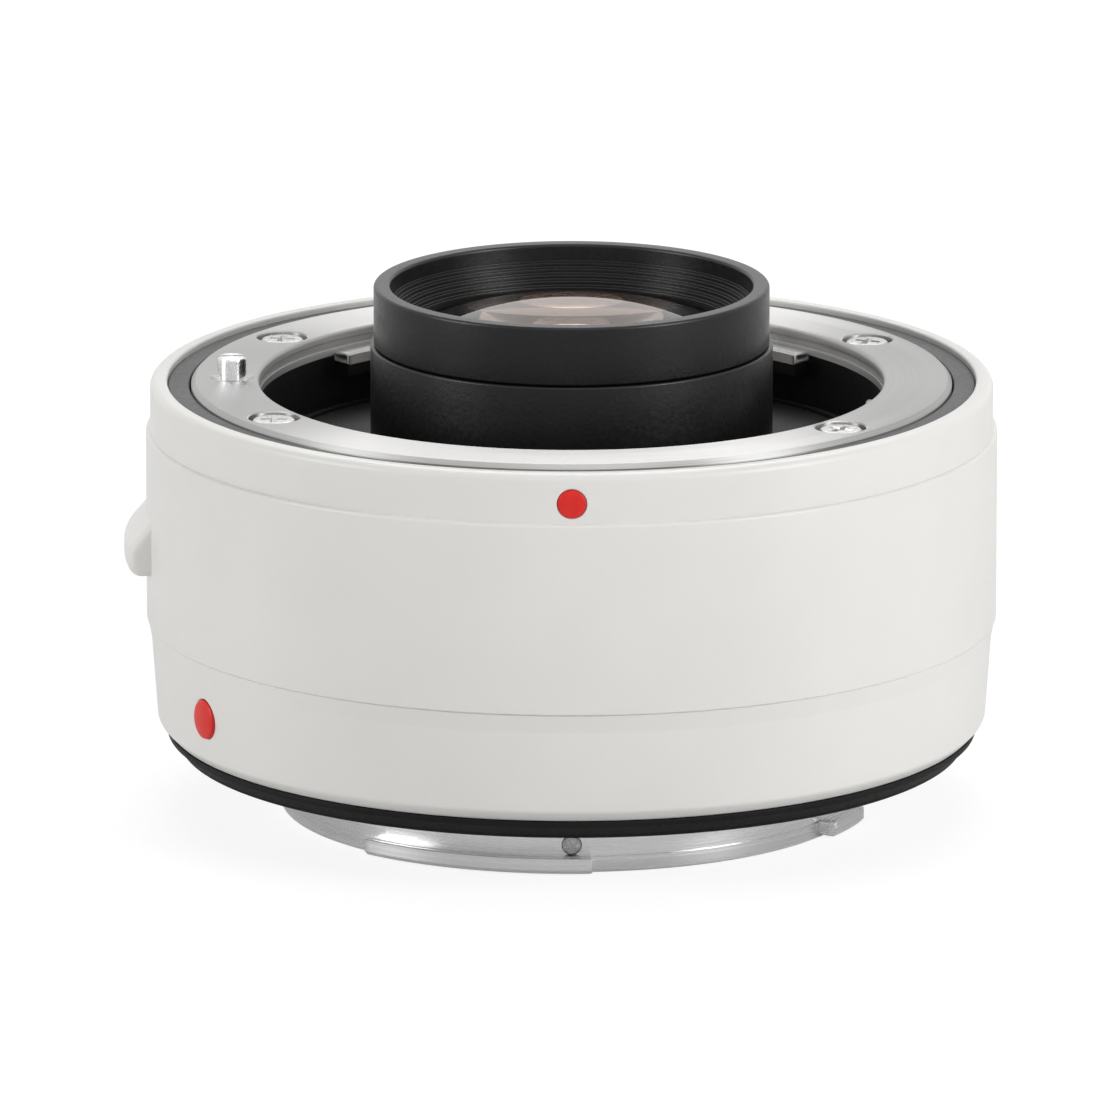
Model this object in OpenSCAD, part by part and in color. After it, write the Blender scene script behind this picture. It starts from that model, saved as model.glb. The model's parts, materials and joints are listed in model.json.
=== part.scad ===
// Camera teleconverter: a rear converter between a camera and a telephoto lens.
// The origin is on the optical axis, in the face of the rear flange. +Z points to the lens.
// A bearing is an angle about Z, measured from the front (-Y) towards the right (+X).

/* [Overall] */
// Rear flange face to front flange face
flange_len = 31; // [30:0.5:36]
// Diameter of the main barrel
body_d = 72; // [71.5:0.5:80]

/* [Shells] */
// Wall of the white shells
shell_wall = 1.6; // [1.4:0.1:2.2]
// Height of the upper band
bezel_h = 4.2; // [3.8:0.1:5]
// How much smaller in radius the upper band is than the main band
bezel_step = 0.37; // [0.2:0.05:0.6]
// Width of the white rim around the front flange
rim_w = 1.45; // [1.2:0.05:1.8]
// Rounding of the rim's outer edge
rim_round = 0.7; // [0.3:0.1:1]
// Height of the main band
main_h = 16.2; // [15.9:0.1:17]
// Height of the lower band's bottom edge
skirt_z = 1.14; // [0.8:0.02:1.6]
// How far the lower band draws in below its chamfer
band_step = 0.4; // [0.2:0.05:0.6]
// Height of that chamfer
band_chamfer = 1.6; // [1:0.1:2]
// How far the lower band tapers in from its chamfer to its foot
band_taper = 0.5; // [0.2:0.05:0.8]
// Rounding of the lower band's foot
foot_round = 0.9; // [0.5:0.1:1.2]
// Length of the lap that locates one shell in the next
lap_h = 1.4; // [1:0.1:2]
// Wall of that lap
lap_wall = 0.5; // [0.4:0.05:0.7]
// Thickness of the inward shelves that clamp the shells
shelf_t = 1; // [0.8:0.1:1.4]

/* [Front bayonet] */
// Width of the dark trim ring
trim_w = 1.83; // [1.4:0.01:2.4]
// Gap between the steel ring and the dark trim ring
trim_gap = 0.15; // [0.1:0.05:0.3]
// Depth of the trim ring below the flange face
trim_depth = 0.45; // [0.2:0.05:0.8]
// Width of the steel ring, from its outer edge to the throat
ring_w = 5.75; // [5.4:0.05:6]
// Thickness of the steel ring
ring_t = 2; // [1.8:0.1:2.4]
// Chamfer of the ring's outer edge
ring_chamfer = 0.38; // [0.2:0.02:0.6]
// How far the claws reach in from the throat
claw_reach = 1.5; // [1.3:0.05:1.7]
// Depth of the claws below the flange face
claw_depth = 1.7; // [1.5:0.1:1.9]
// Thickness of the claws
claw_t = 1; // [0.8:0.1:1.2]
// Depth of the throat's floor below the flange face
throat_depth = 6.4; // [6.2:0.1:7]
// Distance of the ring's screws from its outer edge
ring_screw_inset = 3.15; // [3:0.05:3.3]

/* [Rear bayonet] */
// Radial play between a neck and the claws that it enters, and between tabs and a throat
bayonet_play = 0.2; // [0.15:0.05:0.3]
// Depth of the tabs' upper faces below the rear flange
tab_depth = 4.2; // [4:0.1:4.4]
// Thickness of the tabs
tab_t = 1.4; // [1.2:0.1:1.5]
// Depth of the neck below the rear flange
neck_h = 5.8; // [5.7:0.1:6]
// Wall of the neck
neck_wall = 2.1; // [1.9:0.1:2.3]
// Distance of the rear flange's edge from the lower band's foot
flange_inset = 2.2; // [2:0.1:2.4]
// Thickness of the rear flange
rear_flange_t = 1.8; // [1.6:0.1:2.2]
// Height that the rubber seal stands below the rear flange
seal_drop = 0.57; // [0.3:0.02:0.8]
// Distance of the rear bayonet's screws from its neck
rear_screw_out = 3.9; // [3.7:0.1:4.3]

/* [Lens barrel] */
// Gap between the lens tube and the front contact block
tube_gap = 1.4; // [1:0.1:1.6]
// Wall of the lens tube around the front group
tube_wall = 2.55; // [2.4:0.05:3]
// Height of the tube's top above the front flange
tube_rise = 3; // [2.6:0.1:3.6]
// How much smaller in radius the collar is than the tube
collar_step = 0.28; // [0.2:0.02:0.4]
// Height of the collar
collar_h = 5.1; // [4.8:0.1:6]
// Wall of the collar's rim
collar_wall = 1.42; // [1.3:0.02:1.6]
// Depth of the plain wall inside the collar's rim
collar_lip = 1.4; // [1.2:0.1:1.8]
// How far the front retainer reaches in over the front glass
glass_seat = 0.9; // [0.7:0.05:1.2]
// How much smaller in radius the middle and rear groups are than the front group
group_step = 1.4; // [1.2:0.1:1.8]

/* [Release] */
// Width of the slider's window in the main barrel
window_w = 15.6; // [15:0.1:17]
// Height of the window
window_h = 12.3; // [12:0.1:13]
// Distance of the window's top edge below the main band's top
window_depth = 3.5; // [3.2:0.05:3.6]
// Rounding of the window's corners
window_round = 2.4; // [1:0.1:3]
// Width of the knob
knob_w = 13.4; // [11:0.1:14]
// Height of the knob
knob_h = 6.6; // [5:0.1:7]
// How far the knob stands proud of the barrel
knob_rise = 1.9; // [1:0.1:2.4]
// Travel of the slider
release_travel = 2; // [1.9:0.05:2.1]
// Diameter of the lock pin
pin_d = 2.45; // [2:0.05:2.6]
// How far the lock pin stands above the front flange
pin_rise = 1.85; // [1.5:0.05:1.95]
// Distance of the lock pin from the steel ring's outer edge
pin_inset = 3.45; // [3.3:0.05:3.6]
// Mean diameter of the release spring
spring_d = 3.8; // [3.4:0.1:4.2]
// Wire of the release spring
spring_wire = 0.4; // [0.3:0.05:0.5]
// Turns of the release spring
spring_turns = 7; // [5:1:7]

/* [Contacts] */
// Bearing step between contacts
contact_step = 8; // [7.5:0.5:8.5]
// Distance of the contacts from the wall of the rear neck's bore
contact_inset = 2.2; // [2:0.1:2.4]
// Half the radial width of the contact blocks
contact_margin = 2; // [1.8:0.1:2.2]
// Diameter of a contact pin
contact_d = 1; // [0.8:0.05:1.1]
// Travel of a contact pin
contact_travel = 0.8; // [0.6:0.05:0.8]
// Wire of a contact spring
contact_wire = 0.16; // [0.12:0.02:0.2]

/* [Index marks] */
// Diameter of the lens index mark
lens_dot_d = 2.4; // [1.8:0.1:3]
// Depth of the lens index mark's centre below the front flange
lens_dot_depth = 2.5; // [2.2:0.1:2.6]
// Diameter of the camera index mark
camera_dot_d = 3.3; // [2.6:0.1:3.6]
// Height of the camera index mark's centre
camera_dot_z = 5.6; // [5:0.1:6]
// Bearing of the camera index mark
camera_dot_bearing = -60.4; // [-64:0.2:-56]

/* [Fits] */
// Clearance between pieces that are fixed to each other
fit = 0.05; // [0.03:0.01:0.08]
// Radial clearance of a piece that slides in a hole
slide_fit = 0.05; // [0.03:0.01:0.08]
// Room between pieces that move past each other
room = 0.3; // [0.25:0.05:0.35]
// Thickness of the cement between glass elements
cement = 0.03; // [0.02:0.01:0.06]

/* [Hidden] */
$fn = 96;
over = 1;
weld = 0.1;
cross_len = 0.62;
cross_w = 0.14;
ball_sides = 256;

// Shells
body_r = body_d / 2;
bore_r = body_r - shell_wall;
lap_r = bore_r - fit;
lap_in_r = lap_r - lap_wall;
bezel_r = body_r - bezel_step;
bezel_in_r = bezel_r - rim_w;
bezel_z = flange_len - bezel_h;
seam_z = bezel_z - main_h;
band_r = body_r - band_step;
foot_r = band_r - band_taper;
seam_bevel = 0.12;
lens_dot_sink = 0.8;
lens_dot_rise = 0.1;
camera_dot_sink = 0.9;
camera_dot_rise = 0.15;
dot_dome = 1.6;

// Front bayonet
trim_r = bezel_in_r - fit;
trim_in_r = trim_r - trim_w;
ring_r = trim_in_r - trim_gap;
throat_r = ring_r - ring_w;
ring_z = flange_len - ring_t;
claw_r = throat_r - claw_reach;
claw_z = flange_len - claw_depth;
claw_bearings = [[-42, 4], [58, 88], [130, 230]];
groove_top = 0.8;
groove_bottom = 1.35;
groove_cut = 0.25;
liner_wall = 0.8;
liner_r = throat_r + liner_wall;
backing_z = claw_z - claw_t - fit;
backing_t = 0.95;
leaf_t = 0.2;
leaf_drop = 0.4;
leaf_half = 13;
leaf_gap = 0.2;
leaf_steps = 6;
floor_z = flange_len - throat_depth;
baffle_t = 1.2;
plate_z = floor_z - baffle_t;
plate_t = 2;
ridge_inset = 1;
ridge_w = 0.4;
ridge_h = 0.3;
arc_play = 0.3;
ring_screw_r = ring_r - ring_screw_inset;
ring_screw_bearings = [-121.6, -59.2, 50.7, 119.5];
ring_head_d = 3.7;
ring_head_h = 0.9;
ring_head_sink = 0.15;
ring_bore_d = 4.3;
ring_shank_d = 1.7;
ring_bite = 4;
ring_screw_len = flange_len - ring_head_sink - plate_z + plate_t + ring_bite;
boss_r = 1.75;
shelf_in_r = ring_screw_r + boss_r + 3 * fit;
shelf_z = ring_z - shelf_t;

// Radii from the claws in to the lens tube
neck_r = claw_r - bayonet_play;
tab_r = throat_r - bayonet_play;
neck_bore_r = neck_r - neck_wall;
contact_r = neck_bore_r - contact_inset;
block_in_r = contact_r - contact_margin;
tube_r = block_in_r - tube_gap;

// Frame
chassis_r = lap_in_r - fit;
chassis_wall = 1.6;
chassis_in_r = chassis_r - chassis_wall;
shim_t = 0.2;
pad_z = rear_flange_t + shim_t;
deck_z = pad_z + shelf_t;
deck_t = 2.2;
deck_top = deck_z + deck_t;
post_r = 2;
hub_wall = 1.25;
hub_r = tube_r + hub_wall;
pad_inset = 1.1;
tube_flange_w = 3.5;
tube_flange_r = tube_r + tube_flange_w;
tube_flange_t = 1.4;
tube_screw_out = 2.2;
tube_screw_r = tube_r + tube_screw_out;
tube_screw_bite = 1.6;
tube_hole_skin = 0.4;
tube_screw_bearings = [0, 120, 240];

// Rear bayonet
rear_flange_r = foot_r - flange_inset;
rear_screw_r = neck_r + rear_screw_out;
rear_screw_bite = 2.8;
tab_root = 0.5;
tab_bearings = [[-42, 4], [58, 71], [180, 233]];
tab_chamfer = 0.35;
rear_screw_bearings = [-135, -35, 35, 145];
rear_head_d = 3.6;
rear_head_h = 0.9;
rear_bore_d = 4;
rear_shank_d = 1.7;
seal_in_r = rear_flange_r + fit;
seal_top = skirt_z - fit;
seal_inset = 0.7;
seal_slope = 1.15;
seal_side = 0.5;
seal_foot = 0.3;
seal_draft = 0.1;
seal_r = foot_r - seal_inset;
seal_low_r = seal_r - seal_slope;
shim_inset = 0.7;
shim_in_r = neck_bore_r + shim_inset;
stop_d = 1.6;
stop_depth = 3.4;
stop_rise = 0.35;
stop_root = 0.4;

// Optics: heights of the surfaces on the axis, as depths below the collar's top or heights above the deck
collar_r = tube_r - collar_step;
collar_in_r = collar_r - collar_wall;
tube_top = flange_len + tube_rise;
collar_top = tube_top + collar_h;
socket_h = 1.1;
socket_wall = 1.1;
collar_seam = 0.08;
collar_bevel = 0.25;
front_bore_r = tube_r - tube_wall;
front_glass_r = front_bore_r - fit;
front_clear_r = front_glass_r - glass_seat;
rear_glass_r = front_glass_r - group_step;
rear_bore_r = rear_glass_r + fit;
socket_r = front_bore_r + socket_wall;
stop_w = 1.2;
throat_stop_r = rear_glass_r - stop_w;
tube_drop = 2.3;
tube_foot = deck_z - tube_drop;

// Depth of a round surface at a distance from its middle, and the radius that gives it a depth at its edge
function sag(r, radius) = radius - sqrt(radius * radius - r * r);
function curve(r, dish) = (r * r + dish * dish) / (2 * dish);

dish_1 = 2.8;
dish_2 = 1.5;
dish_3 = 1.3;
curve_1 = curve(front_glass_r, dish_1);
curve_2 = curve(front_glass_r, dish_2);
curve_3 = curve(front_glass_r, dish_3);
front_apex = tube_top + socket_h + sag(front_clear_r, curve_1);
edge_1 = 1.15;
thick_1 = edge_1 + dish_1 + dish_2;
thick_2 = 1.6;
apex_2 = front_apex - thick_1;
apex_3 = apex_2 - thick_2;
front_seat = apex_3 - dish_3;
stop_len = 4.3;
rear_seat = front_seat - stop_len;
dish_4 = 1.4;
dish_5 = 2.95;
dish_6 = 2.95;
dish_7 = 1.4;
curve_4 = curve(rear_glass_r, dish_4);
curve_5 = curve(rear_glass_r, dish_5);
curve_6 = curve(rear_glass_r, dish_6);
curve_7 = curve(rear_glass_r, dish_7);
apex_4 = rear_seat - dish_4;
thick_3 = 1.2;
edge_4 = 0.87;
thick_4 = edge_4 + dish_5 + dish_6;
thick_5 = 1.3;
apex_5 = apex_4 - thick_3;
apex_6 = apex_5 - thick_4;
apex_7 = apex_6 - thick_5;
spacer_top = apex_7 - dish_7 - fit;
dish_8 = 2.2;
dish_9 = 2.5;
dish_10 = 0.95;
curve_8 = curve(rear_glass_r, dish_8);
curve_9 = curve(rear_glass_r, dish_9);
curve_10 = curve(rear_glass_r, dish_10);
retainer_h = 1.3;
retainer_w = 1.4;
retainer_sink = 0.2;
retainer_top = tube_foot + retainer_sink + retainer_h;
edge_6 = 2.02;
thick_6 = edge_6 + dish_8 + dish_9;
thick_7 = 1.4;
apex_10 = retainer_top + fit + dish_10;
apex_9 = apex_10 + thick_7;
apex_8 = apex_9 + thick_6;
spacer_w = 1.4;
spacer_in_r = rear_glass_r - spacer_w;
ridge_steps = 5;
ridge_edge = 0.3;
ridge_land = 0.6;
ridge_tread = 0.15;
spacer_foot = apex_8 - sag(spacer_in_r, curve_8) + fit;

// Release
slide_half_w = 4.5;
rail_half_w = 6.6;
rail_gap = 0.1;
rail_x = sqrt(chassis_r * chassis_r - rail_half_w * rail_half_w);
slide_t = 1;
slide_in_x = rail_x - slide_t;
lip_x = slide_in_x - rail_gap;
lip_t = 0.8;
lip_over = 0.9;
window_top = bezel_z - window_depth;
window_z = window_top - window_h;
plate_gap = room;
key_z = window_z + release_travel + room;
key_top = window_top - plate_gap;
key_back = 0.2;
key_sink = 0.12;
key_in_r = bore_r + key_back;
key_out_r = body_r - key_sink;
release_bearing = -90;
knob_out_r = body_r + knob_rise;
key_half = asin((window_w / 2 - room) / body_r);
knob_half = asin(knob_w / 2 / knob_out_r);
stem_half_w = 3;
stem_root = 0.4;
grip_round = 2.2;
ramp_h = 2.35;
ramp_break = 0.2;
stem_lift = 1.2;
stem_drop = 2;
stem_z = key_z + stem_lift;
stem_top = key_top - stem_drop;
arm_half_w = 2.6;
arm_t = 2;
arm_gap = 1.85;
bush_flange_t = 0.8;
arm_z = plate_z - plate_t - bush_flange_t - arm_gap - arm_t;
slide_below = 0.8;
slide_short = 0.1;
slide_z = window_z - slide_below;
slide_top = window_top - slide_short;
guide_bar = 0.8;
guide_z = slide_z - release_travel - room - guide_bar;
guide_top = slide_top + room + guide_bar;
guide_run = guide_top - guide_z - 2 * guide_bar;
notch_half_w = rail_half_w + fit;
notch_x = lip_x - lip_t - fit;
pin_r = ring_r - pin_inset;
pin_rad = pin_d / 2;
pin_hole_r = pin_rad + slide_fit;
pin_tail = 7;
pin_tail_z = arm_z - pin_tail;
pin_chamfer = 0.6;
pin_slot_w = 0.4;
pin_slot_h = 0.35;
pin_bevel = 0.3;
spring_len = 8;
spring_well = 2.8;
spring_seat_z = arm_z - spring_len;
spring_seat_r = spring_d / 2 + spring_wire;
bush_wall = 0.75;
bush_lip = 0.6;
bush_r = pin_rad + bush_wall;
bush_flange_r = bush_r + bush_lip;
release_screw_d = 1.2;
release_head_d = 2;
release_head_h = 0.6;
release_bite = 1.5;
release_screw_len = release_head_h + slide_t + release_bite - room;
release_screw_edge = 1;
release_screw_zs = [stem_z + release_screw_edge, stem_top - release_screw_edge];
camera_pin_play = 0.1;
camera_pin_relief = 0.2;
camera_pin_bore_r = pin_rad + camera_pin_play;
camera_pin_depth = 2.4;

// Contacts
contact_count = 8;
block_half = 40;
block_gap = 0.35;
block_rise = 1.7;
block_drop = 2.5;
block_r = neck_bore_r - block_gap;
block_top = floor_z + block_rise;
block_roof = 0.8;
block_z = plate_z - block_drop;
block_floor = 1;
contact_hole_r = contact_d / 2 + slide_fit;
contact_lip = 0.25;
contact_play = 0.2;
contact_collar_r = contact_d / 2 + contact_lip;
contact_well_r = contact_collar_r + contact_play;
contact_collar_h = 0.9;
contact_stand = 0.1;
contact_tip = contact_travel + contact_stand;
collar_top_z = block_top - block_roof - room;
collar_foot_z = collar_top_z - contact_collar_h;
well_z = block_z + block_floor;
contact_spring_turns = 3;
contact_spring_play = 0.05;
contact_ear_bearing = 34.5;
contact_screw_d = 1.2;
contact_head_d = 2;
contact_head_h = 0.6;
contact_screw_bite = 1;
shield_wall = 0.65;
shield_lip = 0.5;
rear_block_r = neck_bore_r - fit - shield_wall - fit;
shield_z = -1.2;
shield_t = 1.8;
shield_margin = 0.6;
shield_hole_r = rear_glass_r + shield_margin;
shield_skin = 0.2;
shield_screw_bite = 1.4;
shield_foot = -4.9;
rear_block_z = -4.6;
pad_size = 1.6;
pad_t = 0.3;

// Electronics
board_t = 1;
board_rise = 5.4;
board_gap = 0.8;
board_post_gap = 0.5;
board_z = deck_top + board_rise;
board_in_r = hub_r + board_gap;
board_r = ring_screw_r - post_r - board_post_gap;
board_mid_r = (board_in_r + board_r) / 2;
board_from = -58;
board_to = 238;
board_post_r = 1.6;
board_post_out = 1.4;
board_post_at = board_mid_r + board_post_out;
board_post_depth = 3;
board_screw_bite = 2.4;
board_post_bearings = [20, 120, 222];
board_screw_d = 1.2;
// Each chip: its bearing, length, width and height
chips = [[70, 6, 6, 1.1], [-20, 4, 3, 0.9], [150, 3, 3, 0.8]];
flex_w = 8;
flex_t = 0.2;
flex_y = contact_r;

// A disc-shaped ring between two radii and two heights
module ring(outer, inner, z0, z1) {
  difference() {
    translate([0, 0, z0])
      cylinder(r = outer, h = z1 - z0);
    translate([0, 0, z0 - over])
      cylinder(r = inner, h = z1 - z0 + 2 * over);
  }
}

// A ring's stretch between two bearings
module arc_block(outer, inner, z0, z1, from, to) {
  rotate([0, 0, from - 90])
    rotate_extrude(angle = to - from)
      translate([inner, z0])
        square([outer - inner, z1 - z0]);
}

// Places children at a bearing and a distance from the axis
module at_bearing(bearing, r, z = 0) {
  rotate([0, 0, bearing - 90])
    translate([r, 0, z])
      children();
}

// A screw that points down, with its head's top at the origin
module screw(head_d, head_h, shank_d, len, recess = 0.5) {
  difference() {
    union() {
      translate([0, 0, -head_h])
        cylinder(d = head_d, h = head_h);
      translate([0, 0, -len])
        cylinder(d = shank_d, h = len);
    }
    for (turn = [0, 90])
      rotate([0, 0, turn])
        cube([head_d * cross_len, head_d * cross_w, 2 * recess * head_h], center = true);
  }
}

// A coil spring as one tube: rings of points along a helix, joined by triangles
function coil_ring(r, wire, pitch, steps, sides, i) =
  let (turn = 360 * i / steps, rise = pitch * i / steps)
    [for (s = [0 : sides - 1])
      let (out = r + wire / 2 * cos(360 * s / sides), up = wire / 2 * sin(360 * s / sides))
        [out * cos(turn), out * sin(turn), rise + up]];

module coil(r, wire, pitch, turns, steps = 8, sides = 6) {
  last = turns * steps;
  points = [for (i = [0 : last]) each coil_ring(r, wire, pitch, steps, sides, i)];
  skin = [for (i = [0 : last - 1]) for (s = [0 : sides - 1])
    let (a = i * sides + s, b = i * sides + (s + 1) % sides, c = a + sides, d = b + sides)
      each [[a, c, b], [b, c, d]]];
  foot = [for (s = [1 : sides - 2]) [0, s, s + 1]];
  head = [for (s = [1 : sides - 2]) [last * sides, last * sides + s + 1, last * sides + s]];
  polyhedron(points = points, faces = concat(skin, foot, head), convexity = 10);
}

// Least distance between neighbouring curls, less the wire
function coil_gap(r, wire, pitch, turns, steps = 8) =
  let (at = [for (i = [0 : turns * steps])
    [r * cos(360 * i / steps), r * sin(360 * i / steps), pitch * i / steps]])
    min([for (i = [0 : len(at) - 1]) for (k = [i + steps - 2 : i + steps + 2])
      if (k < len(at)) norm(at[k] - at[i])]) - wire;

// A closed lens blank between two heights, to be cut by spheres
module blank(r, z0, z1) {
  translate([0, 0, z0])
    cylinder(r = r, h = z1 - z0);
}

// A ball whose top, or whose bottom, is on the axis at height z
module ball_under(z, radius) {
  translate([0, 0, z - radius])
    sphere(r = radius, $fn = ball_sides);
}

module ball_over(z, radius) {
  translate([0, 0, z + radius])
    sphere(r = radius, $fn = ball_sides);
}

// The slider's window: a rounded opening through the shell, seen along X
module window_cut(w, h, z, round) {
  translate([-body_r - knob_rise - over, 0, z])
    rotate([90, 0, 90])
      linear_extrude(height = shell_wall + knob_rise + 4 * over)
        translate([-w / 2, 0])
          union() {
            translate([round, 0])
              square([w - 2 * round, h]);
            translate([0, round])
              square([w, h - 2 * round]);
            for (x = [round, w - round])
              for (y = [round, h - round])
                translate([x, y])
                  circle(r = round);
          }
}

module front_bezel() {
  color("whitesmoke")
    difference() {
      rotate_extrude()
        union() {
          difference() {
            translate([bezel_in_r, bezel_z])
              square([bezel_r - bezel_in_r, bezel_h]);
            translate([bezel_r - rim_round, flange_len - rim_round])
              square(rim_round + over);
          }
          translate([bezel_r - rim_round, flange_len - rim_round])
            circle(r = rim_round);
          translate([shelf_in_r, shelf_z])
            square([bezel_in_r + weld - shelf_in_r, shelf_t]);
          translate([lap_in_r, bezel_z - lap_h])
            square([lap_r - lap_in_r, lap_h + weld]);
          translate([lap_in_r, bezel_z])
            square([bezel_r - weld - lap_in_r, shelf_z - bezel_z + weld]);
        }
      at_bearing(0, bezel_r - lens_dot_sink, flange_len - lens_dot_depth)
        rotate([0, 90, 0])
          cylinder(d = lens_dot_d + 2 * fit, h = lens_dot_sink + over);
    }
}

module main_barrel() {
  color("whitesmoke")
    difference() {
      ring(body_r, bore_r, seam_z, bezel_z);
      window_cut(window_w, window_h, window_z, window_round);
    }
}

module rear_barrel() {
  color("whitesmoke")
    difference() {
      rotate_extrude()
        union() {
          polygon([
            [lap_in_r, skirt_z],
            [foot_r - foot_round, skirt_z],
            [foot_r, skirt_z + foot_round],
            [band_r, seam_z - band_chamfer],
            [body_r - seam_bevel, seam_z - seam_bevel],
            [body_r - 2 * seam_bevel, seam_z],
            [lap_in_r, seam_z]
          ]);
          translate([shelf_in_r, pad_z])
            square([lap_in_r + weld - shelf_in_r, shelf_t]);
          translate([seal_in_r, skirt_z])
            square([lap_in_r + weld - seal_in_r, pad_z - skirt_z + weld]);
          translate([lap_in_r, seam_z - weld])
            square([lap_r - lap_in_r, lap_h + weld]);
        }
      at_bearing(camera_dot_bearing, band_r - camera_dot_sink, camera_dot_z)
        rotate([0, 90, 0])
          cylinder(d = camera_dot_d + 2 * fit, h = camera_dot_sink + over);
      translate([-body_r, -notch_half_w, seam_z + fit])
        cube([body_r - notch_x, 2 * notch_half_w, lap_h]);
    }
}

// A flat-backed round mark with a slightly domed face, lying in its recess
module index_dot(d, back_r, face_r, z, bearing) {
  dome = d * dot_dome;
  at_bearing(bearing, 0, z)
    intersection() {
      translate([back_r, 0, 0])
        rotate([0, 90, 0])
          cylinder(d = d, h = face_r - back_r + over);
      translate([face_r - dome, 0, 0])
        sphere(r = dome);
    }
}

module lens_index_dot() {
  color("red")
    index_dot(lens_dot_d, bezel_r - lens_dot_sink + fit, bezel_r + lens_dot_rise,
      flange_len - lens_dot_depth, 0);
}

module camera_index_dot() {
  color("red")
    index_dot(camera_dot_d, band_r - camera_dot_sink + fit, band_r + camera_dot_rise,
      camera_dot_z, camera_dot_bearing);
}

module front_mount() {
  color("silver")
    difference() {
      union() {
        rotate_extrude()
          polygon([
            [throat_r, ring_z],
            [ring_r, ring_z],
            [ring_r, flange_len - ring_chamfer],
            [ring_r - ring_chamfer, flange_len],
            [throat_r, flange_len],
            [throat_r, flange_len - groove_top],
            [throat_r + groove_cut, flange_len - groove_top],
            [throat_r + groove_cut, flange_len - groove_bottom],
            [throat_r, flange_len - groove_bottom]
          ]);
        for (c = claw_bearings) {
          arc_block(liner_r, claw_r, claw_z - claw_t, ring_z + weld, c[0], c[1]);
          arc_block(throat_r + weld, claw_r, ring_z, claw_z, c[0], c[1]);
        }
      }
      for (b = ring_screw_bearings)
        at_bearing(b, ring_screw_r, flange_len) {
          translate([0, 0, -ring_head_h - ring_head_sink])
            cylinder(d = ring_bore_d, h = ring_t);
          translate([0, 0, -ring_t - over])
            cylinder(d = ring_shank_d + 2 * fit, h = ring_t + 2 * over);
        }
      translate([-pin_r, 0, ring_z - over])
        cylinder(r = pin_hole_r, h = ring_t + 2 * over);
      translate([-pin_r, 0, flange_len - pin_chamfer])
        cylinder(r1 = pin_hole_r, r2 = pin_hole_r + pin_chamfer + weld, h = pin_chamfer + weld);
    }
}

module front_mount_screws() {
  color("gainsboro")
    for (b = ring_screw_bearings)
      at_bearing(b, ring_screw_r, flange_len - ring_head_sink)
        screw(ring_head_d, ring_head_h, ring_shank_d, ring_screw_len);
}

module front_trim_ring() {
  color("dimgray")
    ring(trim_r, trim_in_r, ring_z, flange_len - trim_depth);
}

module throat_liner() {
  color("black")
    union() {
      difference() {
        ring(liner_r, throat_r, plate_z, ring_z);
        for (c = claw_bearings)
          arc_block(liner_r + over, throat_r - over, backing_z, ring_z + over,
            c[0] - arc_play, c[1] + arc_play);
      }
      for (c = claw_bearings)
        arc_block(throat_r + weld, claw_r + fit, backing_z - backing_t, backing_z, c[0], c[1]);
    }
}

// Three bowed strips under the claws, which press on the tabs of a mounted lens
module bayonet_springs() {
  leaf_top = backing_z - backing_t - fit;
  half_len = throat_r * sin(leaf_half);
  bow = [for (i = [-leaf_steps : leaf_steps])
    let (along = i / leaf_steps) [half_len * along, leaf_drop * (along * along - 1)]];
  band = concat(bow, [for (i = [len(bow) - 1 : -1 : 0]) bow[i] - [0, leaf_t]]);
  color("silver")
    for (c = claw_bearings) {
      middle = (c[0] + c[1]) / 2;
      intersection() {
        arc_block(throat_r - leaf_gap, claw_r + leaf_gap, floor_z, leaf_top,
          middle - leaf_half, middle + leaf_half);
        at_bearing(middle, 0, leaf_top)
          rotate([90, 0, 90])
            linear_extrude(height = throat_r)
              polygon(band);
      }
    }
}

// The slot that the front contact block stands in
module block_slot(z0, z1) {
  arc_block(block_r + fit, block_in_r - fit, z0, z1,
    180 - block_half - arc_play, 180 + block_half + arc_play);
}

module front_baffle() {
  color("black")
    difference() {
      union() {
        ring(throat_r - fit, tube_r + 2 * fit, plate_z, floor_z);
        ring(throat_r - ridge_inset, throat_r - ridge_inset - ridge_w, floor_z - weld, floor_z + ridge_h);
      }
      block_slot(plate_z - over, floor_z + over);
    }
}

module front_plate() {
  color("dimgray")
    difference() {
      union() {
        ring(chassis_in_r - fit, tube_r + fit, plate_z - plate_t, plate_z);
        for (b = ring_screw_bearings)
          at_bearing(b, ring_screw_r, plate_z - weld)
            cylinder(r = boss_r, h = ring_z - plate_z + weld);
      }
      for (b = ring_screw_bearings)
        at_bearing(b, ring_screw_r, plate_z - plate_t - over)
          cylinder(d = ring_shank_d + 2 * fit, h = ring_z - plate_z + plate_t + 2 * over);
      translate([-pin_r, 0, plate_z - plate_t - over])
        cylinder(r = bush_r + fit, h = plate_t + 2 * over);
      translate([-body_r, -notch_half_w, plate_z - plate_t - over])
        cube([body_r - notch_x, 2 * notch_half_w, plate_t + 2 * over]);
      block_slot(plate_z - plate_t - over, plate_z + over);
    }
}

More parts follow.
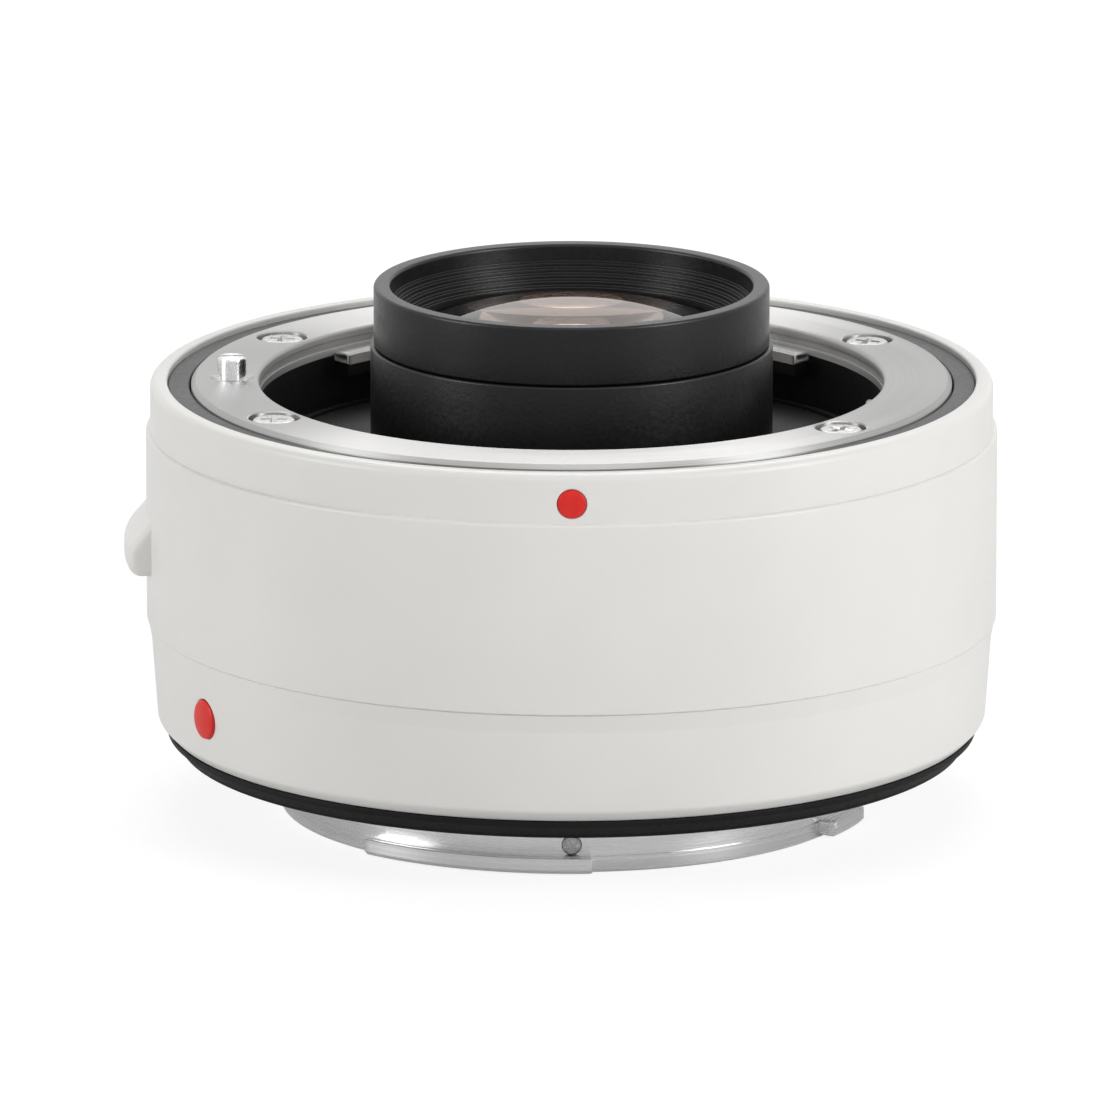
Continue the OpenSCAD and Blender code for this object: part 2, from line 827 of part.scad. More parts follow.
module chassis() {
  post_top = plate_z - plate_t;
  color("gray")
    difference() {
      union() {
        ring(chassis_r, chassis_in_r, deck_z, shelf_z);
        ring(chassis_r, tube_r + fit, deck_z, deck_top);
        ring(shelf_in_r - 2 * fit, neck_bore_r - pad_inset, pad_z, deck_z + weld);
        ring(hub_r, tube_r + fit, deck_z, post_top);
        for (b = ring_screw_bearings)
          at_bearing(b, ring_screw_r, deck_top - weld)
            cylinder(r = post_r, h = post_top - deck_top + weld);
        for (b = board_post_bearings)
          at_bearing(b, board_post_at, deck_top - weld)
            cylinder(r = board_post_r, h = board_z - deck_top + weld);
        translate([-pin_r, 0, deck_top - weld])
          cylinder(r = spring_seat_r, h = spring_seat_z - deck_top + weld);
      }
      for (b = ring_screw_bearings)
        at_bearing(b, ring_screw_r, post_top - ring_bite - over)
          cylinder(d = ring_shank_d + 2 * fit, h = ring_bite + 2 * over);
      for (b = board_post_bearings)
        at_bearing(b, board_post_at, board_z - board_post_depth)
          cylinder(d = board_screw_d + 2 * fit, h = board_post_depth + over);
      for (b = rear_screw_bearings)
        at_bearing(b, rear_screw_r, pad_z - over)
          cylinder(d = rear_shank_d + 2 * fit, h = deck_top - pad_z + 2 * over);
      for (b = tube_screw_bearings)
        at_bearing(b, tube_screw_r, deck_z - over)
          cylinder(d = contact_screw_d + 2 * fit, h = deck_t - tube_hole_skin + over);
      translate([-pin_r, 0, spring_seat_z - spring_well])
        cylinder(r = pin_rad + room, h = spring_well + over);
      translate([-pin_r, 0, pad_z - over])
        cylinder(r = camera_pin_bore_r + camera_pin_relief, h = camera_pin_depth - pad_z + over);
      translate([-body_r, -notch_half_w, guide_z - fit])
        cube([body_r - notch_x, 2 * notch_half_w, guide_top - guide_z + 2 * fit]);
      translate([-flex_w / 2 - room, flex_y - room, pad_z - over])
        cube([flex_w + 2 * room, flex_t + 2 * room, deck_top - pad_z + 2 * over]);
    }
}

module lens_tube() {
  color("black")
    difference() {
      union() {
        translate([0, 0, tube_foot])
          cylinder(r = tube_r, h = tube_top - tube_foot);
        translate([0, 0, tube_top - weld])
          cylinder(r = socket_r, h = socket_h + weld);
        translate([0, 0, deck_z - tube_flange_t])
          cylinder(r = tube_flange_r, h = tube_flange_t);
      }
      translate([0, 0, front_seat])
        cylinder(r = front_bore_r, h = tube_top + socket_h + over - front_seat);
      translate([0, 0, rear_seat - over])
        cylinder(r = throat_stop_r, h = front_seat - rear_seat + 2 * over);
      translate([0, 0, tube_foot - over])
        cylinder(r = rear_bore_r, h = rear_seat - tube_foot + over);
      for (b = tube_screw_bearings)
        at_bearing(b, tube_screw_r, deck_z - tube_flange_t - over)
          cylinder(d = contact_screw_d + 2 * fit, h = tube_flange_t + 2 * over);
      translate([-flex_w / 2 - room, flex_y - room, deck_z - tube_flange_t - over])
        cube([flex_w + 2 * room, tube_flange_r, tube_flange_t + 2 * over]);
    }
}

module tube_screws() {
  color("gainsboro")
    for (b = tube_screw_bearings)
      at_bearing(b, tube_screw_r, deck_z - tube_flange_t - contact_head_h)
        rotate([180, 0, 0])
          screw(contact_head_d, contact_head_h, contact_screw_d,
            contact_head_h + tube_flange_t + tube_screw_bite);
}

module lens_collar() {
  color("black")
    rotate_extrude()
      polygon([
        [socket_r + fit, tube_top + collar_seam],
        [collar_r - collar_bevel / 2, tube_top + collar_seam],
        [collar_r, tube_top + collar_seam + collar_bevel / 2],
        [collar_r, collar_top - collar_bevel],
        [collar_r - collar_bevel, collar_top],
        [collar_in_r + collar_bevel, collar_top],
        [collar_in_r, collar_top - collar_bevel],
        [collar_in_r, tube_top + socket_h + fit],
        [socket_r + fit, tube_top + socket_h + fit]
      ]);
}

// A ring whose inner wall steps in towards the glass
module front_retainer() {
  top = collar_top - collar_lip;
  foot = front_apex - sag(front_clear_r, curve_1) + fit;
  run = (collar_in_r - ridge_edge - front_clear_r) / (ridge_steps - 1);
  rise = (top - foot - ridge_edge) / ridge_steps;
  color("black")
    rotate_extrude()
      polygon(concat(
        [[collar_in_r - fit, top], [collar_in_r - fit, foot], [front_clear_r, foot]],
        [for (i = [0 : ridge_steps - 1])
          let (r = front_clear_r + i * run, z = foot + ridge_edge + i * rise)
            each [
              [r, z],
              [r, z + ridge_land * rise],
              [r + ridge_tread, z + ridge_land * rise],
              [r + ridge_tread, z + rise]
            ]]));
}

module rear_retainer() {
  color("black")
    ring(rear_glass_r, rear_glass_r - retainer_w, retainer_top - retainer_h, retainer_top);
}

module lens_spacer() {
  color("black")
    ring(rear_glass_r, spacer_in_r, spacer_foot, spacer_top);
}

module lens_1() {
  color("sienna", 0.5)
    intersection() {
      blank(front_glass_r, apex_2 - over, front_apex + over);
      ball_under(front_apex, curve_1);
      ball_over(apex_2, curve_2);
    }
}

module lens_2() {
  color("sienna", 0.5)
    difference() {
      blank(front_glass_r, front_seat, apex_2 + dish_2 - cement);
      ball_over(apex_2 - cement, curve_2);
      ball_under(apex_3, curve_3);
    }
}

module lens_3() {
  color("lightblue", 0.5)
    difference() {
      blank(rear_glass_r, apex_5 - dish_5, rear_seat);
      ball_over(apex_4, curve_4);
      ball_under(apex_5, curve_5);
    }
}

module lens_4() {
  color("lightblue", 0.5)
    intersection() {
      blank(rear_glass_r, apex_6 - over, apex_5 + over);
      ball_under(apex_5 - cement, curve_5);
      ball_over(apex_6, curve_6);
    }
}

module lens_5() {
  color("lightblue", 0.5)
    difference() {
      blank(rear_glass_r, apex_7 - dish_7, apex_6 + dish_6 - cement);
      ball_over(apex_6 - cement, curve_6);
      ball_under(apex_7, curve_7);
    }
}

module lens_6() {
  color("lightblue", 0.5)
    intersection() {
      blank(rear_glass_r, apex_9 - over, apex_8 + over);
      ball_under(apex_8, curve_8);
      ball_over(apex_9, curve_9);
    }
}

module lens_7() {
  color("lightblue", 0.5)
    difference() {
      blank(rear_glass_r, apex_10 - dish_10, apex_9 + dish_9 - cement);
      ball_over(apex_9 - cement, curve_9);
      ball_under(apex_10, curve_10);
    }
}

// The knob's section: rounded below, and ramping off above
module knob_section() {
  ramp_z = key_z + knob_h - ramp_h;
  intersection() {
    translate([key_out_r - weld, key_z])
      square([knob_out_r - key_out_r + weld, knob_h]);
    union() {
      translate([knob_out_r - grip_round, key_z + grip_round])
        circle(r = grip_round);
      polygon([
        [knob_out_r - grip_round, key_z],
        [knob_out_r, key_z + grip_round],
        [knob_out_r, ramp_z],
        [knob_out_r - ramp_break, ramp_z + 3 * ramp_break],
        [key_out_r, key_z + knob_h],
        [knob_out_r - grip_round, key_z + knob_h]
      ]);
    }
  }
}

module release_knob() {
  color("whitesmoke")
    difference() {
      union() {
        intersection() {
          arc_block(key_out_r, key_in_r, key_z, key_top,
            release_bearing - key_half, release_bearing + key_half);
          window_cut(window_w - 2 * room, key_top - key_z, key_z, window_round - room);
        }
        intersection() {
          rotate([0, 0, release_bearing - 90 - knob_half])
            rotate_extrude(angle = 2 * knob_half)
              knob_section();
          window_cut(knob_w, knob_h + window_round, key_z, window_round - room);
        }
        translate([-key_in_r - stem_root, -stem_half_w, stem_z])
          cube([key_in_r + stem_root - rail_x, 2 * stem_half_w, stem_top - stem_z]);
      }
      for (z = release_screw_zs)
        translate([-rail_x - release_bite, 0, z])
          rotate([0, 90, 0])
            cylinder(d = release_screw_d + 2 * fit, h = release_bite + over);
    }
}

module release_slide() {
  color("darkgray")
    difference() {
      union() {
        translate([-rail_x, -slide_half_w, slide_z])
          cube([slide_t, 2 * slide_half_w, slide_top - slide_z]);
        translate([-slide_in_x - weld, -arm_half_w, arm_z])
          cube([slide_in_x + weld - pin_r, 2 * arm_half_w, arm_t]);
        translate([-pin_r, 0, arm_z])
          cylinder(r = arm_half_w, h = arm_t);
      }
      translate([-pin_r, 0, arm_z - over])
        cylinder(r = pin_rad + fit, h = arm_t + 2 * over);
      for (z = release_screw_zs)
        translate([-rail_x - over, 0, z])
          rotate([0, 90, 0])
            cylinder(d = release_screw_d + 2 * fit, h = slide_t + 2 * over);
    }
}

module release_screws() {
  color("gainsboro")
    for (z = release_screw_zs)
      translate([-slide_in_x + release_head_h, 0, z])
        rotate([0, 90, 0])
          screw(release_head_d, release_head_h, release_screw_d, release_screw_len);
}

module slide_guide() {
  color("black")
    difference() {
      translate([-rail_x, -rail_half_w, guide_z])
        cube([rail_x - lip_x + lip_t, 2 * rail_half_w, guide_top - guide_z]);
      translate([-rail_x - over, -slide_half_w - rail_gap, guide_z + guide_bar])
        cube([rail_x - lip_x + over, 2 * (slide_half_w + rail_gap), guide_run]);
      translate([-rail_x - over, -slide_half_w + lip_over, guide_z + guide_bar])
        cube([rail_x - lip_x + lip_t + 2 * over, 2 * (slide_half_w - lip_over), guide_run]);
    }
}

module lock_pin() {
  pin_top = flange_len + pin_rise;
  color("gainsboro")
    difference() {
      translate([-pin_r, 0, 0])
        union() {
          translate([0, 0, pin_tail_z])
            cylinder(r = pin_rad, h = pin_top - pin_bevel - pin_tail_z);
          translate([0, 0, pin_top - pin_bevel])
            cylinder(r1 = pin_rad, r2 = pin_rad - pin_bevel, h = pin_bevel);
        }
      translate([-pin_r - pin_d, -pin_slot_w / 2, pin_top - pin_slot_h])
        cube([2 * pin_d, pin_slot_w, pin_slot_h + over]);
    }
}

module pin_bush() {
  color("goldenrod")
    difference() {
      translate([-pin_r, 0, plate_z - plate_t - bush_flange_t])
        union() {
          cylinder(r = bush_r, h = plate_t + bush_flange_t);
          cylinder(r = bush_flange_r, h = bush_flange_t);
        }
      translate([-pin_r, 0, plate_z - plate_t - bush_flange_t - over])
        cylinder(r = pin_hole_r, h = plate_t + bush_flange_t + 2 * over);
    }
}

module release_spring() {
  len = arm_z - spring_seat_z - 2 * fit;
  pitch = (len - spring_wire) / spring_turns;
  echo(release_spring_gap = coil_gap(spring_d / 2, spring_wire, pitch, spring_turns));
  color("silver")
    translate([-pin_r, 0, spring_seat_z + fit + spring_wire / 2])
      coil(spring_d / 2, spring_wire, pitch, spring_turns);
}

function contact_bearing(i) = 180 + (i - (contact_count - 1) / 2) * contact_step;

module front_contact_block() {
  color("black")
    difference() {
      arc_block(block_r, block_in_r, block_z, block_top, 180 - block_half, 180 + block_half);
      for (i = [0 : contact_count - 1])
        at_bearing(contact_bearing(i), contact_r, 0) {
          translate([0, 0, well_z])
            cylinder(r = contact_well_r, h = block_top - block_roof - well_z);
          translate([0, 0, block_top - block_roof - over])
            cylinder(r = contact_hole_r, h = block_roof + 2 * over);
        }
      for (side = [-1, 1])
        at_bearing(180 + side * contact_ear_bearing, contact_r, 0) {
          translate([0, 0, block_z - over])
            cylinder(d = contact_screw_d + 2 * fit, h = block_top - block_z + 2 * over);
          translate([0, 0, block_top - contact_head_h])
            cylinder(d = contact_head_d + 2 * fit, h = contact_head_h + over);
        }
    }
}

module front_contact_screws() {
  color("gainsboro")
    for (side = [-1, 1])
      at_bearing(180 + side * contact_ear_bearing, contact_r, block_top)
        screw(contact_head_d, contact_head_h, contact_screw_d, block_top - block_z + contact_screw_bite);
}

module contact_springs() {
  len = collar_foot_z - well_z - 2 * fit;
  mean_r = contact_collar_r - contact_wire / 2 - contact_spring_play;
  pitch = (len - contact_wire) / contact_spring_turns;
  echo(contact_spring_gap = coil_gap(mean_r, contact_wire, pitch, contact_spring_turns));
  color("gold")
    for (i = [0 : contact_count - 1])
      at_bearing(contact_bearing(i), contact_r, well_z + fit + contact_wire / 2)
        coil(mean_r, contact_wire, pitch, contact_spring_turns);
}

// A plunger with a round tip, and a collar that keeps it in its well
module contact_pin(i) {
  color("gold")
    at_bearing(contact_bearing(i), contact_r, 0)
      union() {
        translate([0, 0, collar_foot_z])
          cylinder(r = contact_collar_r, h = contact_collar_h);
        translate([0, 0, collar_foot_z])
          cylinder(d = contact_d, h = block_top + contact_tip - contact_d / 2 - collar_foot_z);
        translate([0, 0, block_top + contact_tip - contact_d / 2])
          sphere(d = contact_d);
      }
}

module circuit_board() {
  color("darkgreen")
    difference() {
      arc_block(board_r, board_in_r, board_z, board_z + board_t, board_from, board_to);
      for (b = board_post_bearings)
        at_bearing(b, board_post_at, board_z - over)
          cylinder(d = board_screw_d + 2 * fit, h = board_t + 2 * over);
    }
}

// The controller, a memory chip and the two flex sockets
module board_chips() {
  color("black")
    for (c = chips)
      at_bearing(c[0], board_mid_r, board_z + board_t)
        translate([-c[1] / 2, -c[2] / 2, 0])
          cube([c[1], c[2], c[3]]);
}

module board_screws() {
  color("gainsboro")
    for (b = board_post_bearings)
      at_bearing(b, board_post_at, board_z + board_t + contact_head_h)
        screw(contact_head_d, contact_head_h, board_screw_d, contact_head_h + board_t + board_screw_bite);
}

// Two flat strips: from the front contacts to the board, and from the board to the rear contacts
module flex_cables() {
  color("peru")
    for (run = [[board_z + board_t, block_z], [shield_z + shield_t, board_z]])
      translate([-flex_w / 2, flex_y, run[0]])
        cube([flex_w, flex_t, run[1] - run[0]]);
}

module rear_contact_block() {
  color("black")
    difference() {
      arc_block(rear_block_r, block_in_r, rear_block_z, shield_z, 180 - block_half, 180 + block_half);
      for (side = [-1, 1])
        at_bearing(180 + side * contact_ear_bearing, contact_r, 0) {
          translate([0, 0, rear_block_z - over])
            cylinder(d = contact_screw_d + 2 * fit, h = shield_z - rear_block_z + 2 * over);
          translate([0, 0, rear_block_z - over])
            cylinder(d = contact_head_d + 2 * fit, h = contact_head_h + over);
        }
      for (i = [0 : contact_count - 1])
        at_bearing(contact_bearing(i), contact_r, rear_block_z)
          cube([pad_size + 2 * fit, pad_size + 2 * fit, 2 * pad_t], center = true);
    }
}

module rear_contact_pads() {
  color("gold")
    for (i = [0 : contact_count - 1])
      at_bearing(contact_bearing(i), contact_r, rear_block_z + pad_t / 2)
        cube([pad_size, pad_size, pad_t], center = true);
}

module rear_contact_screws() {
  color("gainsboro")
    for (side = [-1, 1])
      at_bearing(180 + side * contact_ear_bearing, contact_r, rear_block_z)
        rotate([180, 0, 0])
          screw(contact_head_d, contact_head_h, contact_screw_d,
            shield_z - rear_block_z + shield_screw_bite);
}

module rear_baffle() {
  color("black")
    difference() {
      union() {
        ring(neck_bore_r - fit, shield_hole_r, shield_z, shield_z + shield_t);
        ring(neck_bore_r - fit, neck_bore_r - fit - shield_wall, shield_foot, pad_z - fit);
        ring(neck_bore_r + shield_lip, neck_bore_r - fit - shield_wall, rear_flange_t, pad_z - fit);
      }
      for (side = [-1, 1])
        at_bearing(180 + side * contact_ear_bearing, contact_r, shield_z - over)
          cylinder(d = contact_screw_d + 2 * fit, h = shield_t + over - shield_skin);
    }
}

module rear_mount() {
  color("silver")
    difference() {
      union() {
        cylinder(r = rear_flange_r, h = rear_flange_t);
        translate([0, 0, -neck_h])
          cylinder(r = neck_r, h = neck_h + weld);
        for (t = tab_bearings)
          rotate([0, 0, t[0] - 90])
            rotate_extrude(angle = t[1] - t[0])
              polygon([
                [neck_r - tab_root, -tab_depth],
                [tab_r, -tab_depth],
                [tab_r, -tab_depth - tab_t + tab_chamfer],
                [tab_r - tab_chamfer, -tab_depth - tab_t],
                [neck_r - tab_root, -tab_depth - tab_t]
              ]);
      }
      translate([0, 0, -neck_h - over])
        cylinder(r = neck_bore_r, h = neck_h + rear_flange_t + 2 * over);
      for (b = rear_screw_bearings)
        at_bearing(b, rear_screw_r, 0) {
          translate([0, 0, -over])
            cylinder(d = rear_shank_d + 2 * fit, h = rear_flange_t + 2 * over);
          translate([0, 0, -over])
            cylinder(d = rear_bore_d, h = rear_head_h + over);
        }
      translate([-pin_r, 0, -over])
        cylinder(r = camera_pin_bore_r, h = rear_flange_t + 2 * over);
      at_bearing(0, neck_bore_r - over, -stop_depth)
        rotate([0, 90, 0])
          cylinder(d = stop_d + 2 * fit, h = neck_r - neck_bore_r + 2 * over);
    }
}

module rear_mount_screws() {
  color("gainsboro")
    for (b = rear_screw_bearings)
      at_bearing(b, rear_screw_r, 0)
        rotate([180, 0, 0])
          screw(rear_head_d, rear_head_h, rear_shank_d, pad_z + rear_screw_bite);
}

module mount_shim() {
  color("goldenrod")
    difference() {
      ring(shelf_in_r - 2 * fit, shim_in_r, rear_flange_t, pad_z);
      for (b = rear_screw_bearings)
        at_bearing(b, rear_screw_r, rear_flange_t - over)
          cylinder(d = rear_shank_d + 2 * fit, h = shim_t + 2 * over);
      translate([-pin_r, 0, rear_flange_t - over])
        cylinder(r = camera_pin_bore_r + camera_pin_relief, h = shim_t + 2 * over);
    }
}

module mount_seal() {
  color("black")
    rotate_extrude()
      polygon([
        [seal_in_r, seal_top],
        [seal_r, seal_top],
        [seal_r - seal_draft, seal_top - seal_side],
        [seal_low_r + seal_draft, -seal_drop + seal_foot],
        [seal_low_r, -seal_drop],
        [seal_in_r, -seal_drop]
      ]);
}

module stop_screw() {
  color("gray")
    at_bearing(0, neck_bore_r + stop_root, -stop_depth)
      rotate([0, 90, 0])
        cylinder(d = stop_d, h = neck_r + stop_rise - neck_bore_r - stop_root);
}

front_bezel();
main_barrel();
rear_barrel();
lens_index_dot();
camera_index_dot();
front_mount();
front_mount_screws();
front_trim_ring();
throat_liner();
bayonet_springs();
front_baffle();
front_plate();
chassis();
lens_tube();
tube_screws();
lens_collar();
front_retainer();
rear_retainer();
lens_spacer();
lens_1();
lens_2();
lens_3();
lens_4();
lens_5();
lens_6();
lens_7();
release_knob();
release_slide();
release_screws();
slide_guide();
lock_pin();
pin_bush();
release_spring();
front_contact_block();
front_contact_screws();
contact_springs();
contact_pin(0);  // contact_pin_1
contact_pin(1);  // contact_pin_2
contact_pin(2);  // contact_pin_3
contact_pin(3);  // contact_pin_4
contact_pin(4);  // contact_pin_5
contact_pin(5);  // contact_pin_6
contact_pin(6);  // contact_pin_7
contact_pin(7);  // contact_pin_8
circuit_board();
board_chips();
board_screws();
flex_cables();
rear_contact_block();
rear_contact_pads();
rear_contact_screws();
rear_mount();
rear_mount_screws();
mount_shim();
mount_seal();
stop_screw();
rear_baffle();
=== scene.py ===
# Camera teleconverter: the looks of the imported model, in metres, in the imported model's own frame.
# A bearing is an angle about Z, measured from the front (-Y) towards the right (+X).
import json
import math

import bmesh
import bpy
from mathutils import Matrix, Vector


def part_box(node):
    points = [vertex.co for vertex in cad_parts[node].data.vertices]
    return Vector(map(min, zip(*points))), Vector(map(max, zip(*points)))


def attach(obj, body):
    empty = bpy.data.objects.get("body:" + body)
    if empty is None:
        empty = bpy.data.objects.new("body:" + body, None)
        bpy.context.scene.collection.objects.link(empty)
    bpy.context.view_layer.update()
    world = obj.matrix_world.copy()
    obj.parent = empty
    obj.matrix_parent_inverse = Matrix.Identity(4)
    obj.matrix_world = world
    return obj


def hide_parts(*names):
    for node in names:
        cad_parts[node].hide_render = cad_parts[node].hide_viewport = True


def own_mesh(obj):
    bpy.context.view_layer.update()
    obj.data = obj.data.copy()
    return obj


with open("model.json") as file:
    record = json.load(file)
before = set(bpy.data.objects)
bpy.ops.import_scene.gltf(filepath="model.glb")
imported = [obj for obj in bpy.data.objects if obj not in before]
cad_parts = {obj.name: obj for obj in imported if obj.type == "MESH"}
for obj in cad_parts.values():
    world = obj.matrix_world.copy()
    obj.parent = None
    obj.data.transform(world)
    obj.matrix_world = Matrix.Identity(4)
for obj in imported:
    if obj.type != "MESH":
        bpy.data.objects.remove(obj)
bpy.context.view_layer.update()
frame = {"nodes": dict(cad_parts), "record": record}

MM = 0.001
NODES = frame["nodes"]
SLOT_OF = {part["node"]: part["material_slot"] for part in frame["record"]["subparts"]}


# Sizes read from the frame

def span(node):
    """Outer radius, lowest and highest point of a node that is round about the axis."""
    low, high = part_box(node)
    return high.x, low.z, high.z


BODY_R, SEAM_Z, STEP_Z = span("main_barrel")
BEZEL_R, BEZEL_FOOT, FLANGE_Z = span("front_bezel")
TRIM_R, RING_Z, TRIM_TOP = span("front_trim_ring")
RING_R, CLAW_FOOT, _ = span("front_mount")
LINER_R, _, _ = span("throat_liner")
COLLAR_R, COLLAR_Z, COLLAR_TOP = span("lens_collar")
TUBE_FLANGE_R, TUBE_FOOT, SOCKET_TOP = span("lens_tube")
RETAINER_R, RETAINER_Z, RETAINER_TOP = span("front_retainer")
GLASS_R, _, _ = span("lens_1")
_, SKIRT_Z, LAP_TOP = span("rear_barrel")
SEAL_R, SEAL_Z, SEAL_TOP = span("mount_seal")
FLANGE_R, NECK_Z, PAD_Z = span("rear_mount")

# Mesh making
MERGE_DISTANCE = 1e-7
LONGEST_ROUNDING = 0.48
SHELL_SIDES = 360
BORE_SIDES = 72

# Shells
FIT = 0.05 * MM
SHELL_WALL = 1.6 * MM
RIM_ROUND = 0.7 * MM
RIM_IN_ROUND = 0.2 * MM
STEP_ROUND = 0.3 * MM
SHELF_IN_R = 30.9 * MM
SHELF_T = 1.0 * MM
LAP_WALL = 0.5 * MM
EDGE = 0.12 * MM
BORE_R = BODY_R - SHELL_WALL
LAP_R = BORE_R - FIT
LAP_IN_R = LAP_R - LAP_WALL
RIM_IN_R = TRIM_R + FIT

# Lower band
BAND_STEP = 0.4 * MM
BAND_CHAMFER = 1.6 * MM
BAND_TAPER = 0.5 * MM
BAND_ROOM = 0.2 * MM
FOOT_ROUND = 0.9 * MM
FOOT_EDGE = 0.15 * MM
FOOT_SOFTENING = 0.7 * MM
CHAMFER_ROUND = 1.2 * MM
SEAM_BEVEL = 0.12 * MM
CHAMFER_R = BODY_R - BAND_STEP
FOOT_R = CHAMFER_R - BAND_TAPER

# Index marks
LENS_DOT_BEARING = 0
LENS_RECESS = 0.85 * MM
LENS_RECESS_LIP = 0.1 * MM
CAMERA_DOT_BEARING = -60.4
CAMERA_RECESS = 0.9 * MM
CAMERA_RECESS_LIP = 0.22 * MM
MARK_DEPTH = 0.8 * MM
MARK_DOME = 0.16
MARK_STEPS = 12

# Release slider
RELEASE_BEARING = -90
WINDOW_W = 15.6 * MM
WINDOW_H = 12.3 * MM
WINDOW_ROUND = 2.4 * MM
WINDOW_TOP = STEP_Z - 3.5 * MM
WINDOW_MID = WINDOW_TOP - WINDOW_H / 2
WINDOW_LIP = 0.45 * MM
WINDOW_FLARE = 1.9
WINDOW_RISE = 0.3 * MM
LIP_STEPS = 8
ROOM = 0.3 * MM
PLATE_SINK = 0.12 * MM
PLATE_BACK = 0.2 * MM
PLATE_EDGE = 0.2 * MM
PLATE_SIDES = 480
KNOB_W = 13.4 * MM
KNOB_H = 6.6 * MM
KNOB_LIFT = 1.8 * MM
KNOB_ROUND = 0.7 * MM
KNOB_ROOT = 0.5 * MM
KNOB_RAMP = 2.35 * MM
KNOB_FOOT_ROUND = 1.7 * MM
KNOB_BROW_ROUND = 1.0 * MM
KNOB_TOP_ROUND = 0.6 * MM
STEM_W = 6 * MM
STEM_SINK = 0.4 * MM
STEM_FOOT = 1.2 * MM
STEM_HEAD = 2 * MM
PIN_BEVEL = 0.3 * MM
PIN_FOOT_BEVEL = 0.15 * MM
PIN_SLOT_W = 0.4 * MM
PIN_SLOT_H = 0.35 * MM

# Screws
SHANK_R = 0.85 * MM
TIP_ROUND = 0.2 * MM
HEAD_ROUND = 0.3 * MM
CROSS_REACH = 0.62
CROSS_W = 0.15
CROSS_DEPTH = 0.62
CROSS_RISE = 0.02 * MM
FIRST_TURN = 20
BORE_LIP = 0.1 * MM

# Front bayonet
RING_W = 5.75 * MM
RING_CHAMFER = 0.38 * MM
RING_EDGE = 0.05 * MM
THROAT_ROUND = 0.35 * MM
CLAW_REACH = 1.5 * MM
CLAW_T = 1.0 * MM
CLAW_BEVEL = 0.18 * MM
CLAW_END = 0.25 * MM
CLAW_ROOT = 0.1 * MM
CLAW_BEARINGS = ((-42, 4), (58, 88), (130, 230))
GROOVE_TOP = 0.8 * MM
GROOVE_FOOT = 1.35 * MM
GROOVE_CUT = 0.25 * MM
GROOVE_ROUND = 0.1 * MM
THROAT_R = RING_R - RING_W
CLAW_R = THROAT_R - CLAW_REACH
RING_SCREW_R = RING_R - 3.15 * MM
RING_SCREW_BEARINGS = (-121.6, -59.2, 50.7, 119.5)
RING_HEAD_R = 1.85 * MM
RING_HEAD_H = 0.9 * MM
RING_HEAD_SINK = 0.15 * MM
RING_BORE_R = 2.15 * MM
PIN_HOLE_DEPTH = 4 * MM
PIN_HOLE_CHAMFER = 0.6 * MM
TRIM_GAP = 0.15 * MM
TRIM_OUT_ROUND = 0.2 * MM
TRIM_IN_ROUND = 0.15 * MM

# Lens barrel
TUBE_R = COLLAR_R + 0.28 * MM
TUBE_EDGE = 0.16 * MM
SOCKET_R = 15.55 * MM
SOCKET_H = 1.1 * MM
TUBE_TOP = SOCKET_TOP - SOCKET_H
TUBE_FLANGE_T = 1.4 * MM
TUBE_SIDES = 288
TUBE_HOLE_R = 0.65 * MM
TUBE_HOLE_OUT = 2.2 * MM
TUBE_HOLE_HALF = 3 * MM
TUBE_HOLE_BEARINGS = (0, 120, 240)
COLLAR_WALL = 1.42 * MM
COLLAR_ROUND = 0.3 * MM
FRONT_BORE_R = GLASS_R + FIT
REAR_GLASS_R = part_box("lens_3")[1].x
REAR_BORE_R = REAR_GLASS_R + FIT
STOP_R = REAR_GLASS_R - 1.2 * MM
FRONT_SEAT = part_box("lens_2")[0].z
REAR_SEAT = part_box("lens_3")[1].z
RIDGES = 5
RIDGE_TREAD = 0.15 * MM
RIDGE_ROUND = 0.05 * MM
RIDGE_SHARE = 0.6
RETAINER_COVER = 0.9 * MM
RETAINER_FOOT = 0.3 * MM
RETAINER_RIM = 0.25 * MM
FRONT_DISH = 2.8 * MM
BACK_DISH = 1.5 * MM
GLASS_ROWS = 40
GLASS_SIDES = 192

# Rear bayonet
NECK_WALL = 2.1 * MM
NECK_R = CLAW_R - 0.2 * MM
NECK_BORE_R = NECK_R - NECK_WALL
TAB_R = THROAT_R - 0.2 * MM
TAB_TOP = -4.2 * MM
TAB_T = 1.4 * MM
TAB_ROOT = 0.5 * MM
TAB_BEVEL = 0.35 * MM
TAB_EDGE = 0.08 * MM
TAB_GROOVE = 0.12 * MM
TAB_GROOVE_AT = 0.62
TAB_END = 0.35 * MM
TAB_BEARINGS = ((-42, 4), (58, 71), (180, 233))
LINE_Z = TAB_TOP - 0.15 * MM
LINE_HALF = 0.09 * MM
LINE_CUT = 0.16 * MM
REAR_SCREW_R = NECK_R + 3.9 * MM
REAR_SCREW_BEARINGS = (-135, -35, 35, 145)
REAR_HEAD_R = 1.8 * MM
REAR_HEAD_H = 0.9 * MM
BORE_REACH = 3 * MM
PIN_BORE_ROOM = 0.1 * MM
STOP_BORE_REACH = 4 * MM
STOP_ROUND = 0.2 * MM
STOP_SIDES = 48


# Mesh making

def keep(bm, name):
    """Turns a bmesh into an object of the scene."""
    bmesh.ops.remove_doubles(bm, verts=bm.verts, dist=MERGE_DISTANCE)
    bmesh.ops.recalc_face_normals(bm, faces=bm.faces)
    mesh = bpy.data.meshes.new(name)
    bm.to_mesh(mesh)
    bm.free()
    piece = bpy.data.objects.new(name, mesh)
    bpy.context.scene.collection.objects.link(piece)
    return piece


